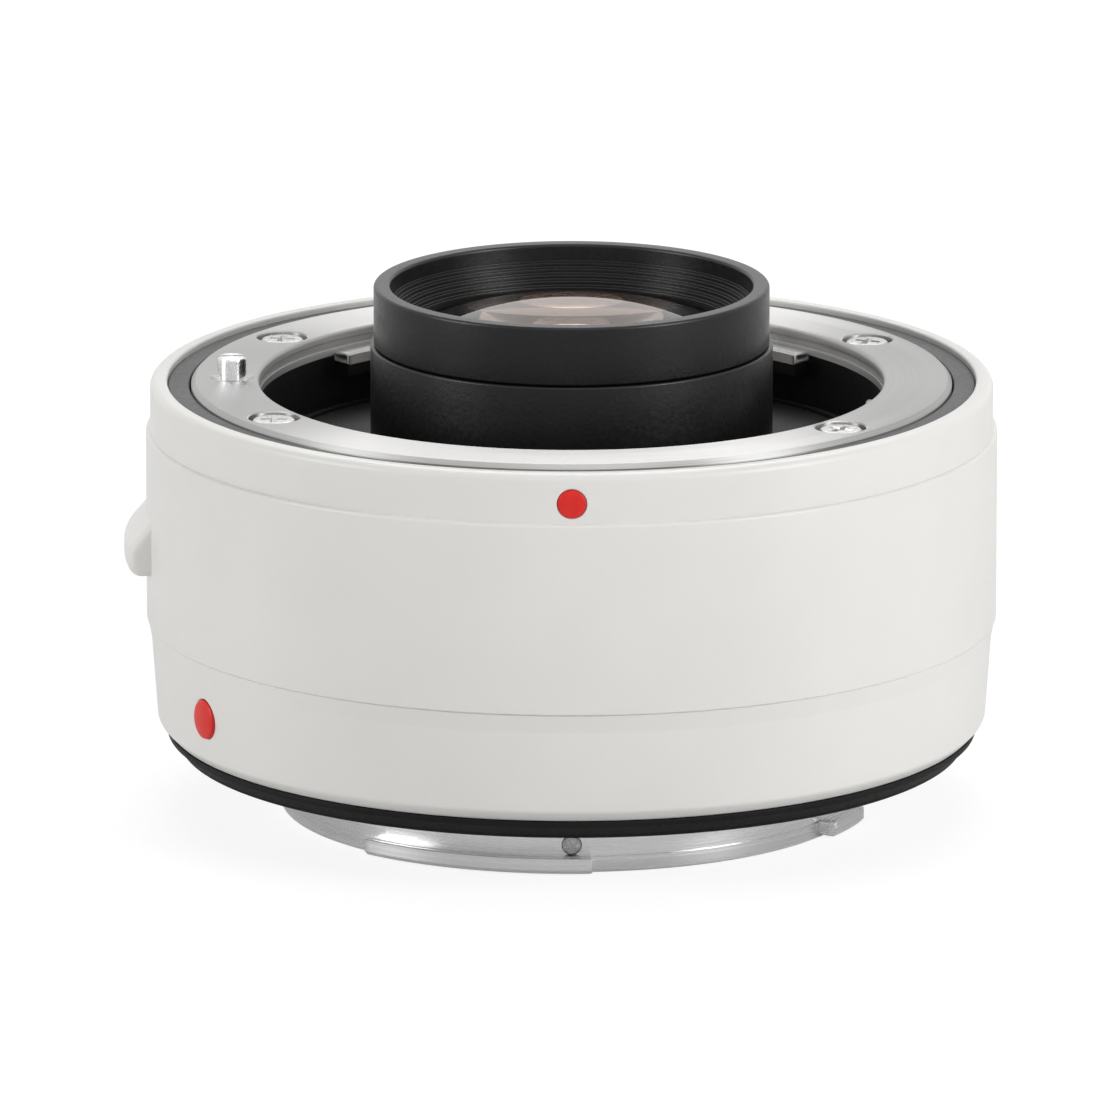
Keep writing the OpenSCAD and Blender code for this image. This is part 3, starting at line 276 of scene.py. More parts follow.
def rounded(points, radii, steps=6):
    """A closed outline with its corners rounded, each by its own radius."""
    result = []
    count = len(points)
    for i, point in enumerate(points):
        corner = Vector(point)
        to_last = Vector(points[i - 1]) - corner
        to_next = Vector(points[(i + 1) % count]) - corner
        radius = radii[i]
        if radius <= 0:
            result.append(corner)
            continue
        half = to_last.angle(to_next) / 2
        longest = LONGEST_ROUNDING * min(to_last.length, to_next.length)
        reach = min(radius / math.tan(half), longest)
        radius = reach * math.tan(half)
        to_last.normalize()
        to_next.normalize()
        centre = corner + (to_last + to_next).normalized() * (radius / math.sin(half))
        first = corner + to_last * reach - centre
        last = corner + to_next * reach - centre
        sweep = math.pi - 2 * half
        for k in range(steps + 1):
            share = k / steps
            arm = first * math.sin((1 - share) * sweep) + last * math.sin(share * sweep)
            result.append(centre + arm / math.sin(sweep))
    return result


def loft(name, sections, closed=False):
    """Joins closed loops of points, one after another, into a solid."""
    bm = bmesh.new()
    rings = [[bm.verts.new(point) for point in section] for section in sections]
    count = len(rings[0])
    links = len(rings) if closed else len(rings) - 1
    for i in range(links):
        a, b = rings[i], rings[(i + 1) % len(rings)]
        for k in range(count):
            n = (k + 1) % count
            bm.faces.new((a[k], a[n], b[n], b[k]))
    if not closed:
        bm.faces.new(rings[0])
        bm.faces.new(list(reversed(rings[-1])))
    return keep(bm, name)


def on_bearing(bearing, r, z):
    """The point at a bearing, a distance from the axis and a height."""
    angle = math.radians(bearing)
    return Vector((r * math.sin(angle), -r * math.cos(angle), z))


def lathe(name, outline, sides=288):
    """Turns a closed outline of (radius, height) about the axis."""
    sections = [[on_bearing(360 * i / sides, r, z) for r, z in outline] for i in range(sides)]
    return loft(name, sections, closed=True)


def block(name, x, y, z):
    """A box between two values along each axis."""
    corners = ((x[0], y[0]), (x[1], y[0]), (x[1], y[1]), (x[0], y[1]))
    return loft(name, [[(*corner, height) for corner in corners] for height in z])


def peg(name, radius, low, high, sides):
    """A plain cylinder along the axis."""
    return lathe(name, [(0, low), (radius, low), (radius, high), (0, high)], sides)


def arc(name, section, start, end, round_by, step=1.0, round_steps=6):
    """Sweeps section(inset) from one bearing to another, with its ends rounded by an inset."""
    reach = math.degrees(round_by / BODY_R)
    ends = [(reach * (1 - math.cos(math.pi / 2 * k / round_steps)),
             round_by * (1 - math.sin(math.pi / 2 * k / round_steps))) for k in range(round_steps + 1)]
    count = max(2, round((end - start - 2 * reach) / step))
    middle = [start + reach + (end - start - 2 * reach) * i / count for i in range(1, count)]
    stations = [(start + along, inset) for along, inset in ends]
    stations += [(bearing, 0) for bearing in middle]
    stations += [(end - along, inset) for along, inset in reversed(ends)]
    return loft(name, [[on_bearing(b, r, z) for r, z in section(inset)] for b, inset in stations])


def moved(piece, place):
    """Puts a piece's own points through a matrix."""
    piece.data.transform(place)
    return piece


def joined(name, pieces):
    """One object from several meshes that don't touch."""
    bm = bmesh.new()
    for piece in pieces:
        bm.from_mesh(piece.data)
        bpy.data.objects.remove(piece)
    return keep(bm, name)


def combine(piece, other, operation):
    """Cuts another solid out of a piece, or adds it, and removes the other."""
    modifier = piece.modifiers.new("combine", "BOOLEAN")
    modifier.operation = operation
    modifier.solver = "EXACT"
    modifier.object = other
    bpy.context.view_layer.update()
    depsgraph = bpy.context.evaluated_depsgraph_get()
    mesh = bpy.data.meshes.new_from_object(piece.evaluated_get(depsgraph))
    piece.modifiers.clear()
    piece.data = mesh
    bpy.data.objects.remove(other)
    return piece


def smooth(piece, limit=33):
    """Smooth shading, with edges sharper than the limit kept crisp."""
    bm = bmesh.new()
    bm.from_mesh(piece.data)
    for face in bm.faces:
        face.smooth = True
    for edge in bm.edges:
        edge.smooth = edge.is_manifold and edge.calc_face_angle(0) < math.radians(limit)
    bm.to_mesh(piece.data)
    bm.free()
    return piece


def vertical(bearing, r, z):
    """A place whose Z points up."""
    return Matrix.Translation(on_bearing(bearing, r, z)) @ Matrix.Rotation(math.radians(bearing), 4, "Z")


def outward(bearing, r, z):
    """A place whose Z points away from the axis."""
    facing = on_bearing(bearing, 1, 0).to_track_quat("Z", "Y").to_matrix().to_4x4()
    return Matrix.Translation(on_bearing(bearing, r, z)) @ facing


def dress(piece, node, body="housing", material=None):
    """Gives a piece its finish and its body, and lets it stand for its node."""
    slot = SLOT_OF[node]
    smooth(piece)
    piece.data.materials.clear()
    piece.data.materials.append(material or FINISH[slot])
    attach(piece, body)
    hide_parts(node)
    return piece


# Finishes

NOISE_LOW, NOISE_HIGH = 0.3, 0.7
ROUND_THE_AXIS = 0.25


def shader(name, colour, rough, metal=0.0, **sockets):
    """A material with a Principled shader. Sockets are named with _ for a space."""
    material = bpy.data.materials.new(name)
    material.use_nodes = True
    tree = material.node_tree
    bsdf = tree.nodes["Principled BSDF"]
    bsdf.inputs["Base Color"].default_value = (*colour, 1)
    bsdf.inputs["Roughness"].default_value = rough
    bsdf.inputs["Metallic"].default_value = metal
    for socket, value in sockets.items():
        bsdf.inputs[socket.replace("_", " ")].default_value = value
    return material, tree, bsdf


def add(tree, kind, **settings):
    """A new shader node of a kind, with its settings."""
    node = tree.nodes.new("ShaderNode" + kind)
    for key, value in settings.items():
        setattr(node, key, value)
    return node


def noise(tree, scale, detail=2.0, rough=0.5, stretch=(1, 1, 1)):
    """Noise of so many features to the metre, from the object's own coordinates."""
    place = add(tree, "TexCoord")
    size = add(tree, "Mapping")
    size.inputs["Scale"].default_value = stretch
    texture = add(tree, "TexNoise")
    texture.inputs["Scale"].default_value = scale
    texture.inputs["Detail"].default_value = detail
    texture.inputs["Roughness"].default_value = rough
    tree.links.new(place.outputs["Object"], size.inputs["Vector"])
    tree.links.new(size.outputs["Vector"], texture.inputs["Vector"])
    return texture.outputs["Fac"]


def rings(tree, scale, wander=60.0):
    """Noise in fine circles about the axis, as a lathe leaves them."""
    place = add(tree, "TexCoord")
    parts = add(tree, "SeparateXYZ")
    flat = add(tree, "CombineXYZ")
    radius = add(tree, "VectorMath", operation="LENGTH")
    height = add(tree, "MapRange")
    height.inputs["From Max"].default_value = 1
    height.inputs["To Max"].default_value = wander / scale
    track = add(tree, "CombineXYZ")
    texture = add(tree, "TexNoise")
    texture.inputs["Scale"].default_value = scale
    texture.inputs["Detail"].default_value = 3
    links = tree.links
    links.new(place.outputs["Object"], parts.inputs["Vector"])
    links.new(parts.outputs["X"], flat.inputs["X"])
    links.new(parts.outputs["Y"], flat.inputs["Y"])
    links.new(flat.outputs["Vector"], radius.inputs[0])
    links.new(parts.outputs["X"], height.inputs["Value"])
    links.new(radius.outputs["Value"], track.inputs["X"])
    links.new(height.outputs["Result"], track.inputs["Y"])
    links.new(parts.outputs["Z"], track.inputs["Z"])
    links.new(track.outputs["Vector"], texture.inputs["Vector"])
    return texture.outputs["Fac"]


def spread(tree, source, low, high):
    """A noise's usual range mapped on to low and high."""
    node = add(tree, "MapRange")
    node.inputs["From Min"].default_value = NOISE_LOW
    node.inputs["From Max"].default_value = NOISE_HIGH
    node.inputs["To Min"].default_value = low
    node.inputs["To Max"].default_value = high
    tree.links.new(source, node.inputs["Value"])
    return node.outputs["Result"]


def tint(tree, source, dark, light, bsdf):
    """A base colour that wanders between two close shades."""
    ramp = add(tree, "ValToRGB")
    ramp.color_ramp.elements[0].position = NOISE_LOW
    ramp.color_ramp.elements[0].color = (*dark, 1)
    ramp.color_ramp.elements[1].position = NOISE_HIGH
    ramp.color_ramp.elements[1].color = (*light, 1)
    tree.links.new(source, ramp.inputs["Fac"])
    tree.links.new(ramp.outputs["Color"], bsdf.inputs["Base Color"])


def bump(tree, source, bsdf, depth, strength):
    """Relief of a depth in metres."""
    node = add(tree, "Bump")
    node.inputs["Strength"].default_value = strength
    node.inputs["Distance"].default_value = depth
    tree.links.new(source, node.inputs["Height"])
    tree.links.new(node.outputs["Normal"], bsdf.inputs["Normal"])


def around_axis(tree, bsdf):
    """Lets an anisotropic sheen run round the axis."""
    tangent = add(tree, "Tangent", direction_type="RADIAL", axis="Z")
    tree.links.new(tangent.outputs["Tangent"], bsdf.inputs["Tangent"])


def white_paint():
    material, tree, bsdf = shader("white_paint", (0.8, 0.79, 0.765), 0.36, Specular_IOR_Level=0.45)
    tint(tree, noise(tree, 90, 3), (0.785, 0.776, 0.752), (0.812, 0.804, 0.78), bsdf)
    tree.links.new(spread(tree, noise(tree, 1200, 2), 0.33, 0.42), bsdf.inputs["Roughness"])
    bump(tree, noise(tree, 1900, 3, 0.55), bsdf, 0.02 * MM, 0.22)
    return material


def mount_steel():
    material, tree, bsdf = shader("mount_steel", (0.42, 0.417, 0.41), 0.42, 1.0,
                                  Anisotropic=0.9, Anisotropic_Rotation=ROUND_THE_AXIS)
    lines = rings(tree, 9000)
    tint(tree, lines, (0.36, 0.357, 0.352), (0.48, 0.476, 0.47), bsdf)
    tree.links.new(spread(tree, lines, 0.36, 0.48), bsdf.inputs["Roughness"])
    bump(tree, lines, bsdf, 0.004 * MM, 0.25)
    around_axis(tree, bsdf)
    return material


def chrome():
    material, tree, bsdf = shader("chrome", (0.74, 0.74, 0.745), 0.28, 1.0,
                                  Anisotropic=0.8, Anisotropic_Rotation=ROUND_THE_AXIS)
    lines = rings(tree, 6000)
    tint(tree, lines, (0.74, 0.74, 0.745), (0.8, 0.8, 0.805), bsdf)
    tree.links.new(spread(tree, lines, 0.23, 0.3), bsdf.inputs["Roughness"])
    bump(tree, lines, bsdf, 0.001 * MM, 0.08)
    around_axis(tree, bsdf)
    return material


def plated(name, dark, light, rough, scale=2500):
    """A plated or rolled metal with fine wandering tone."""
    material, tree, bsdf = shader(name, light, rough, 1.0)
    grain = noise(tree, scale, 4)
    tint(tree, grain, dark, light, bsdf)
    tree.links.new(spread(tree, grain, rough * 0.75, rough * 1.3), bsdf.inputs["Roughness"])
    bump(tree, grain, bsdf, 0.002 * MM, 0.1)
    return material


def moulded(name, dark, light, rough, depth, scale=2600, shine=0.25):
    """A moulded or coated surface with a fine even grain."""
    material, tree, bsdf = shader(name, light, rough, Specular_IOR_Level=shine)
    grain = noise(tree, scale, 3, 0.6)
    tint(tree, noise(tree, 120, 3), dark, light, bsdf)
    tree.links.new(spread(tree, grain, rough * 0.85, rough * 1.12), bsdf.inputs["Roughness"])
    bump(tree, grain, bsdf, depth, 0.5)
    return material


def coated_glass():
    """Optical glass whose coating gives back a warm, brownish light."""
    material, tree, bsdf = shader(
        "coated_glass", (0.31, 0.24, 0.2), 0.0, IOR=1.75, Transmission_Weight=1.0,
        Specular_Tint=(1.0, 0.84, 0.76, 1))
    tint(tree, noise(tree, 120, 2), (0.29, 0.22, 0.185), (0.33, 0.26, 0.215), bsdf)
    return material


def red_enamel():
    material, tree, bsdf = shader("red_enamel", (0.72, 0.02, 0.015), 0.32, Specular_IOR_Level=0.3)
    tint(tree, noise(tree, 900, 2), (0.69, 0.017, 0.013), (0.75, 0.026, 0.02), bsdf)
    bump(tree, noise(tree, 1500, 2), bsdf, 0.01 * MM, 0.2)
    return material

def grained_steel():
    """The stop screw's rough, sparkling head."""
    material, tree, bsdf = shader("grained_steel", (0.42, 0.42, 0.42), 0.4, 1.0)
    grain = noise(tree, 7000, 2)
    tint(tree, grain, (0.25, 0.25, 0.25), (0.6, 0.6, 0.6), bsdf)
    bump(tree, grain, bsdf, 0.08 * MM, 0.9)
    return material



FINISH = {
    "white_paint": white_paint(),
    "mount_steel": mount_steel(),
    "chrome": chrome(),
    "screw_steel": plated("screw_steel", (0.46, 0.455, 0.445), (0.54, 0.535, 0.52), 0.3),
    "spring_steel": plated("spring_steel", (0.5, 0.5, 0.5), (0.64, 0.64, 0.63), 0.3),
    "brass": plated("brass", (0.62, 0.42, 0.16), (0.74, 0.53, 0.24), 0.28),
    "contact_gold": plated("contact_gold", (0.8, 0.56, 0.22), (0.92, 0.68, 0.3), 0.18),
    "frame_alloy": moulded("frame_alloy", (0.1, 0.1, 0.105), (0.15, 0.15, 0.155), 0.55, 0.03 * MM, 1400),
    "trim_grey": moulded("trim_grey", (0.05, 0.05, 0.051), (0.066, 0.066, 0.067), 0.46, 0.01 * MM),
    "black_barrel": moulded("black_barrel", (0.005, 0.005, 0.0048), (0.008, 0.008, 0.0078), 0.32,
                            0.035 * MM, 2300, 0.32),
    "black_plastic": moulded("black_plastic", (0.008, 0.008, 0.008), (0.012, 0.012, 0.012), 0.5, 0.02 * MM),
    "rubber": moulded("rubber", (0.006, 0.006, 0.006), (0.01, 0.01, 0.0097), 0.6, 0.02 * MM, 3200, 0.15),
    "glass": coated_glass(),
    "red_mark": red_enamel(),
    "board": moulded("board", (0.012, 0.07, 0.03), (0.02, 0.1, 0.045), 0.35, 0.01 * MM, 900),
    "chip": moulded("chip", (0.018, 0.018, 0.02), (0.03, 0.03, 0.032), 0.5, 0.01 * MM, 4000),
    "flex": moulded("flex", (0.42, 0.2, 0.05), (0.52, 0.27, 0.08), 0.3, 0.005 * MM, 1500),
}
for node, thing in NODES.items():
    thing.data.materials.clear()
    thing.data.materials.append(FINISH[SLOT_OF[node]])


# Shells

def dot_recess(r, bearing, z, radius, depth, lip):
    """The cutter for an index mark's recess, with a softened rim."""
    outline = rounded(
        [(0, -depth), (radius, -depth), (radius, -lip), (radius + 3 * lip, 2 * lip), (0, 2 * lip)],
        [0, 0, lip, 0, 0])
    return moved(lathe("recess", outline, BORE_SIDES), outward(bearing, r, z))


def index_mark(node, bearing):
    """Makes a domed enamel mark. Gives its height and its radius."""
    low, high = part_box(node)
    z = (low.z + high.z) / 2
    radius = (high.z - low.z) / 2
    top = max(Vector((p.co.x, p.co.y)).length for p in NODES[node].data.vertices)
    dome = MARK_DOME * radius
    face = [(radius * math.sin(a), top - dome * (1 - math.cos(a)))
            for a in (math.pi / 2 * k / MARK_STEPS for k in range(MARK_STEPS, -1, -1))]
    outline = [(0, top - MARK_DEPTH), (radius, top - MARK_DEPTH)] + face
    dress(moved(lathe(node + "_enamel", outline, BORE_SIDES), outward(bearing, 0, z)), node)
    return z, radius


def make_bezel():
    shelf_foot = RING_Z - SHELF_T
    bezel = lathe("bezel_shell", rounded(
        [(LAP_R, BEZEL_FOOT), (LAP_R, STEP_Z), (BEZEL_R, STEP_Z), (BEZEL_R, FLANGE_Z),
         (RIM_IN_R, FLANGE_Z), (RIM_IN_R, RING_Z), (SHELF_IN_R, RING_Z), (SHELF_IN_R, shelf_foot),
         (LAP_IN_R, shelf_foot), (LAP_IN_R, BEZEL_FOOT)],
        [0, 0, 0, RIM_ROUND, RIM_IN_ROUND, 0, 0, 0, 0, 0]), SHELL_SIDES)
    z, radius = index_mark("lens_index_dot", LENS_DOT_BEARING)
    recess = dot_recess(BEZEL_R, LENS_DOT_BEARING, z, radius + FIT, LENS_RECESS, LENS_RECESS_LIP)
    combine(bezel, recess, "DIFFERENCE")
    dress(bezel, "front_bezel")


def make_main_barrel():
    barrel = lathe("main_shell", rounded(
        [(BORE_R, SEAM_Z), (BODY_R, SEAM_Z), (BODY_R, STEP_Z), (BORE_R, STEP_Z)],
        [0, EDGE, STEP_ROUND, 0]), SHELL_SIDES)
    combine(barrel, window_cutter(), "DIFFERENCE")
    dress(barrel, "main_barrel")


def make_lower_band():
    shelf_z = PAD_Z + BAND_ROOM
    shelf_top = shelf_z + SHELF_T
    seat_r = FLANGE_R + FIT
    band = lathe("lower_shell", rounded(
        [(SHELF_IN_R, shelf_z), (seat_r, shelf_z), (seat_r, SKIRT_Z), (FOOT_R - FOOT_ROUND, SKIRT_Z),
         (FOOT_R, SKIRT_Z + FOOT_ROUND), (CHAMFER_R, SEAM_Z - BAND_CHAMFER),
         (BODY_R - SEAM_BEVEL, SEAM_Z - SEAM_BEVEL), (BODY_R - 2 * SEAM_BEVEL, SEAM_Z), (LAP_R, SEAM_Z),
         (LAP_R, LAP_TOP), (LAP_IN_R, LAP_TOP), (LAP_IN_R, shelf_top), (SHELF_IN_R, shelf_top)],
        [0, 0, 0, FOOT_EDGE, FOOT_SOFTENING, CHAMFER_ROUND, 0, 0, 0, 0, 0, 0, 0]), SHELL_SIDES)
    z, radius = index_mark("camera_index_dot", CAMERA_DOT_BEARING)
    recess = dot_recess(CHAMFER_R, CAMERA_DOT_BEARING, z, radius + FIT, CAMERA_RECESS, CAMERA_RECESS_LIP)
    combine(band, recess, "DIFFERENCE")
    low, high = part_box("slide_guide")
    notch = block("notch", (-BODY_R, high.x), (low.y, high.y), (SEAM_Z + FIT, LAP_TOP + MM))
    combine(band, notch, "DIFFERENCE")
    dress(band, "rear_barrel")


# Release slider

def rounded_rectangle(w, h, radius):
    """An outline about the origin."""
    corners = [(-w / 2, -h / 2), (w / 2, -h / 2), (w / 2, h / 2), (-w / 2, h / 2)]
    return rounded(corners, [radius] * 4, 10)


def prism(name, w, h, radius, mid_z, levels):
    """A rounded opening seen along X, wider or narrower by a margin at each level's radius."""
    sections = []
    for r, margin in levels:
        loop = rounded_rectangle(w + 2 * margin, h + 2 * margin, radius + margin)
        sections.append([(-math.sqrt(r * r - u * u), u, mid_z + v) for u, v in loop])
    return loft(name, sections)


def window_cutter():
    """The slider's window. Known fault: its flat end lies inside the barrel's face and leaves a skin."""
    levels = [(BORE_R - MM, 0), (BODY_R - 2 * WINDOW_LIP, 0)]
    for k in range(1, LIP_STEPS):
        a = math.pi / 2 * k / LIP_STEPS
        levels.append((BODY_R - WINDOW_LIP * (1 - math.sin(a)), WINDOW_LIP * (1 - math.cos(a))))
    levels.append((BODY_R + WINDOW_RISE, WINDOW_LIP * WINDOW_FLARE))
    return prism("window", WINDOW_W, WINDOW_H, WINDOW_ROUND, WINDOW_MID, levels)


def make_release_knob():
    """The slider: a plate in the window, a grip with a sloping top, and a stem behind."""
    low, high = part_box("release_knob")
    plate_r = BODY_R - PLATE_SINK
    back_r = BORE_R + PLATE_BACK
    knob_r = -low.x
    half = math.degrees(math.asin(KNOB_W / 2 / knob_r))

    def section(inset):
        root = plate_r - KNOB_ROOT
        foot = low.z + KNOB_LIFT + inset
        top = low.z + KNOB_H - inset
        face = knob_r - inset
        ramp = low.z + KNOB_H - KNOB_RAMP - 0.4 * inset
        return rounded([(root, foot), (face, foot), (face, ramp), (plate_r, top), (root, top)],
                       [0, KNOB_FOOT_ROUND - inset, KNOB_BROW_ROUND, KNOB_TOP_ROUND, 0], 10)

    knob = arc("slider", section, RELEASE_BEARING - half, RELEASE_BEARING + half, KNOB_ROUND, 0.5)
    foot, top = low.z - MM, high.z + MM
    plate = lathe("plate", [(back_r, foot), (plate_r, foot), (plate_r, top), (back_r, top)], PLATE_SIDES)
    levels = [(back_r - MM, 0), (plate_r - PLATE_EDGE, 0), (plate_r - PLATE_EDGE * 0.4, -PLATE_EDGE * 0.25),
              (plate_r + PLATE_EDGE * 0.3, -PLATE_EDGE * 1.1)]
    outline = prism("plate_edge", WINDOW_W - 2 * ROOM, high.z - low.z, WINDOW_ROUND - ROOM,
                    (low.z + high.z) / 2, levels)
    combine(plate, outline, "INTERSECT")
    combine(knob, plate, "UNION")
    stem = block("stem", (-back_r - STEM_SINK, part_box("release_slide")[0].x), (-STEM_W / 2, STEM_W / 2),
                 (low.z + STEM_FOOT, high.z - STEM_HEAD))
    combine(knob, stem, "UNION")
    dress(knob, "release_knob", "release")


def make_lock_pin():
    low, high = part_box("lock_pin")
    radius = (high.y - low.y) / 2
    pin = lathe("pin", rounded([(0, low.z), (radius, low.z), (radius, high.z), (0, high.z)],
                               [0, PIN_FOOT_BEVEL, PIN_BEVEL, 0], 5), 96)
    moved(pin, Matrix.Translation(((low.x + high.x) / 2, 0, 0)))
    slot = block("slot", (low.x - MM, high.x + MM), (-PIN_SLOT_W / 2, PIN_SLOT_W / 2),
                 (high.z - PIN_SLOT_H, high.z + MM))
    combine(pin, slot, "DIFFERENCE")
    dress(pin, "lock_pin", "release")


# Screws

def cross_screw(head_r, head_h, length):
    """A pan screw that points down, with a cross recess, its head's top at the origin."""
    outline = rounded(
        [(0, -length), (SHANK_R, -length), (SHANK_R, -head_h), (head_r, -head_h), (head_r, 0), (0, 0)],
        [0, TIP_ROUND, 0, 0, HEAD_ROUND, 0], 5)
    body = lathe("screw", outline, 64)
    reach, width, depth = head_r * CROSS_REACH, head_r * CROSS_W, head_h * CROSS_DEPTH
    for turn in (0, math.pi / 2):
        sections = []
        for z, r, w in ((-depth, reach * 0.45, width * 0.6), (CROSS_RISE, reach, width), (MM, reach, width)):
            sections.append([(-r, -w, z), (r, -w, z), (r, w, z), (-r, w, z)])
        combine(body, moved(loft("cross", sections), Matrix.Rotation(turn, 4, "Z")), "DIFFERENCE")
    return body


def make_screws(node, name, head_r, head_h, r, bearings, z, length, flip, turn_step):
    """A node's screws as one piece, each turned a step further than the last."""
    pattern = cross_screw(head_r, head_h, length)
    copies = []
    for i, bearing in enumerate(bearings):
        copy = bpy.data.objects.new("copy", pattern.data.copy())
        bpy.context.scene.collection.objects.link(copy)
        turn = math.radians(FIRST_TURN + turn_step * i)
        place = vertical(bearing, r, z) @ Matrix.Rotation(turn, 4, "Z")
        copies.append(moved(copy, place @ Matrix.Rotation(math.pi if flip else 0, 4, "X")))
    bpy.data.objects.remove(pattern)
    dress(joined(name, copies), node)


# Front bayonet

def make_bayonet_ring():
    groove_r = THROAT_R + GROOVE_CUT
    groove_top, groove_foot = FLANGE_Z - GROOVE_TOP, FLANGE_Z - GROOVE_FOOT
    ring = lathe("bayonet_ring", rounded(
        [(THROAT_R, RING_Z), (RING_R, RING_Z), (RING_R, FLANGE_Z - RING_CHAMFER),
         (RING_R - RING_CHAMFER, FLANGE_Z), (THROAT_R, FLANGE_Z), (THROAT_R, groove_top),
         (groove_r, groove_top), (groove_r, groove_foot), (THROAT_R, groove_foot)],
        [0, 0, RING_EDGE, RING_EDGE, THROAT_ROUND, GROOVE_ROUND, 0, 0, GROOVE_ROUND]), SHELL_SIDES)

    def claw(inset):
        face, foot, top = CLAW_R + inset, CLAW_FOOT + inset, CLAW_FOOT + CLAW_T - inset
        back_r, root_r = LINER_R - FIT, THROAT_R + CLAW_ROOT
        root_z = RING_Z + FIT
        return [(face, foot), (back_r, foot), (back_r, root_z), (root_r, root_z), (root_r, top),
                (face + CLAW_BEVEL, top), (face, top - CLAW_BEVEL)]

    for start, end in CLAW_BEARINGS:
        combine(ring, arc("claw", claw, start, end, CLAW_END), "UNION")
    seat = -RING_HEAD_H - RING_HEAD_SINK
    foot = -2 * RING_HEAD_H - MM
    shank_r = SHANK_R + FIT
    bore = [(0, foot), (shank_r, foot), (shank_r, seat), (RING_BORE_R, seat), (RING_BORE_R, -BORE_LIP),
            (RING_BORE_R + 2 * BORE_LIP, BORE_LIP), (0, BORE_LIP)]
    cutters = [moved(lathe("bore", bore, BORE_SIDES), vertical(bearing, RING_SCREW_R, FLANGE_Z))
               for bearing in RING_SCREW_BEARINGS]
    low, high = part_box("lock_pin")
    hole_r = (high.y - low.y) / 2 + FIT
    hole = [(0, -PIN_HOLE_DEPTH), (hole_r, -PIN_HOLE_DEPTH), (hole_r, -PIN_HOLE_CHAMFER),
            (hole_r + PIN_HOLE_CHAMFER + BORE_LIP, BORE_LIP), (0, BORE_LIP)]
    place = Matrix.Translation(((low.x + high.x) / 2, 0, FLANGE_Z))
    cutters.append(moved(lathe("pin_hole", hole, BORE_SIDES), place))
    combine(ring, joined("bores", cutters), "DIFFERENCE")
    dress(ring, "front_mount")


def make_ring_screws():
    top = FLANGE_Z - RING_HEAD_SINK
    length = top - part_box("front_mount_screws")[0].z
    make_screws("front_mount_screws", "ring_screws", RING_HEAD_R, RING_HEAD_H, RING_SCREW_R,
                RING_SCREW_BEARINGS, top, length, flip=False, turn_step=37)


def make_trim_ring():
    inner = RING_R + TRIM_GAP
    trim = lathe("trim", rounded(
        [(inner, RING_Z), (TRIM_R, RING_Z), (TRIM_R, TRIM_TOP), (inner, TRIM_TOP)],
        [0, 0, TRIM_OUT_ROUND, TRIM_IN_ROUND]), SHELL_SIDES)
    dress(trim, "front_trim_ring")


# Lens barrel

def make_lens_tube():
    deck_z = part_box("chassis")[0].z + SHELF_T
    flange_z = deck_z - TUBE_FLANGE_T
    tube = lathe("barrel_tube", rounded(
        [(REAR_BORE_R, TUBE_FOOT), (TUBE_R, TUBE_FOOT), (TUBE_R, flange_z), (TUBE_FLANGE_R, flange_z),
         (TUBE_FLANGE_R, deck_z), (TUBE_R, deck_z), (TUBE_R, TUBE_TOP), (SOCKET_R, TUBE_TOP),
         (SOCKET_R, SOCKET_TOP), (FRONT_BORE_R, SOCKET_TOP), (FRONT_BORE_R, FRONT_SEAT),
         (STOP_R, FRONT_SEAT), (STOP_R, REAR_SEAT), (REAR_BORE_R, REAR_SEAT)],
        [0, 0, 0, 0, 0, 0, TUBE_EDGE, 0, 0, 0, 0, 0, 0, 0]), TUBE_SIDES)
    hole_z = deck_z - 1.2 * TUBE_FLANGE_T
    cutters = [moved(peg("hole", TUBE_HOLE_R, -TUBE_HOLE_HALF, TUBE_HOLE_HALF, 32),
                     vertical(bearing, TUBE_R + TUBE_HOLE_OUT, hole_z)) for bearing in TUBE_HOLE_BEARINGS]
    low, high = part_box("flex_cables")
    cutters.append(block("slot", (low.x - ROOM, high.x + ROOM), (low.y - ROOM, 2 * high.y),
                         (deck_z - 2 * TUBE_FLANGE_T, deck_z + MM)))
    combine(tube, joined("cutters", cutters), "DIFFERENCE")
    dress(tube, "lens_tube")


def make_collar():
    inner, seat_r, seat_z = COLLAR_R - COLLAR_WALL, SOCKET_R + FIT, SOCKET_TOP + FIT
    collar = lathe("barrel_collar", rounded(
        [(seat_r, COLLAR_Z), (COLLAR_R, COLLAR_Z), (COLLAR_R, COLLAR_TOP), (inner, COLLAR_TOP),
         (inner, seat_z), (seat_r, seat_z)],
        [0, TUBE_EDGE, COLLAR_ROUND, COLLAR_ROUND, 0, 0]), TUBE_SIDES)
    dress(collar, "lens_collar")


def make_retainer():
    """A ring whose inner wall steps in towards the glass, each step a fine ridge."""
    clear_r = GLASS_R - RETAINER_COVER
    foot = RETAINER_Z + RETAINER_FOOT
    run = (RETAINER_R - RETAINER_RIM - clear_r) / (RIDGES - 1)
    rise = (RETAINER_TOP - foot) / RIDGES
    wall = []
    for i in range(RIDGES):
        r, z = clear_r + i * run, foot + i * rise
        ledge = z + RIDGE_SHARE * rise
        wall += [(r, z), (r, ledge), (r + RIDGE_TREAD, ledge), (r + RIDGE_TREAD, z + rise)]
    corners = [0, RIDGE_ROUND, 0, RIDGE_ROUND] * RIDGES
    outline = rounded([(RETAINER_R, RETAINER_TOP), (RETAINER_R, RETAINER_Z), (clear_r, RETAINER_Z)] + wall,
                      [0, 0, 0] + corners, 3)
    dress(lathe("glass_retainer", outline, TUBE_SIDES), "front_retainer")


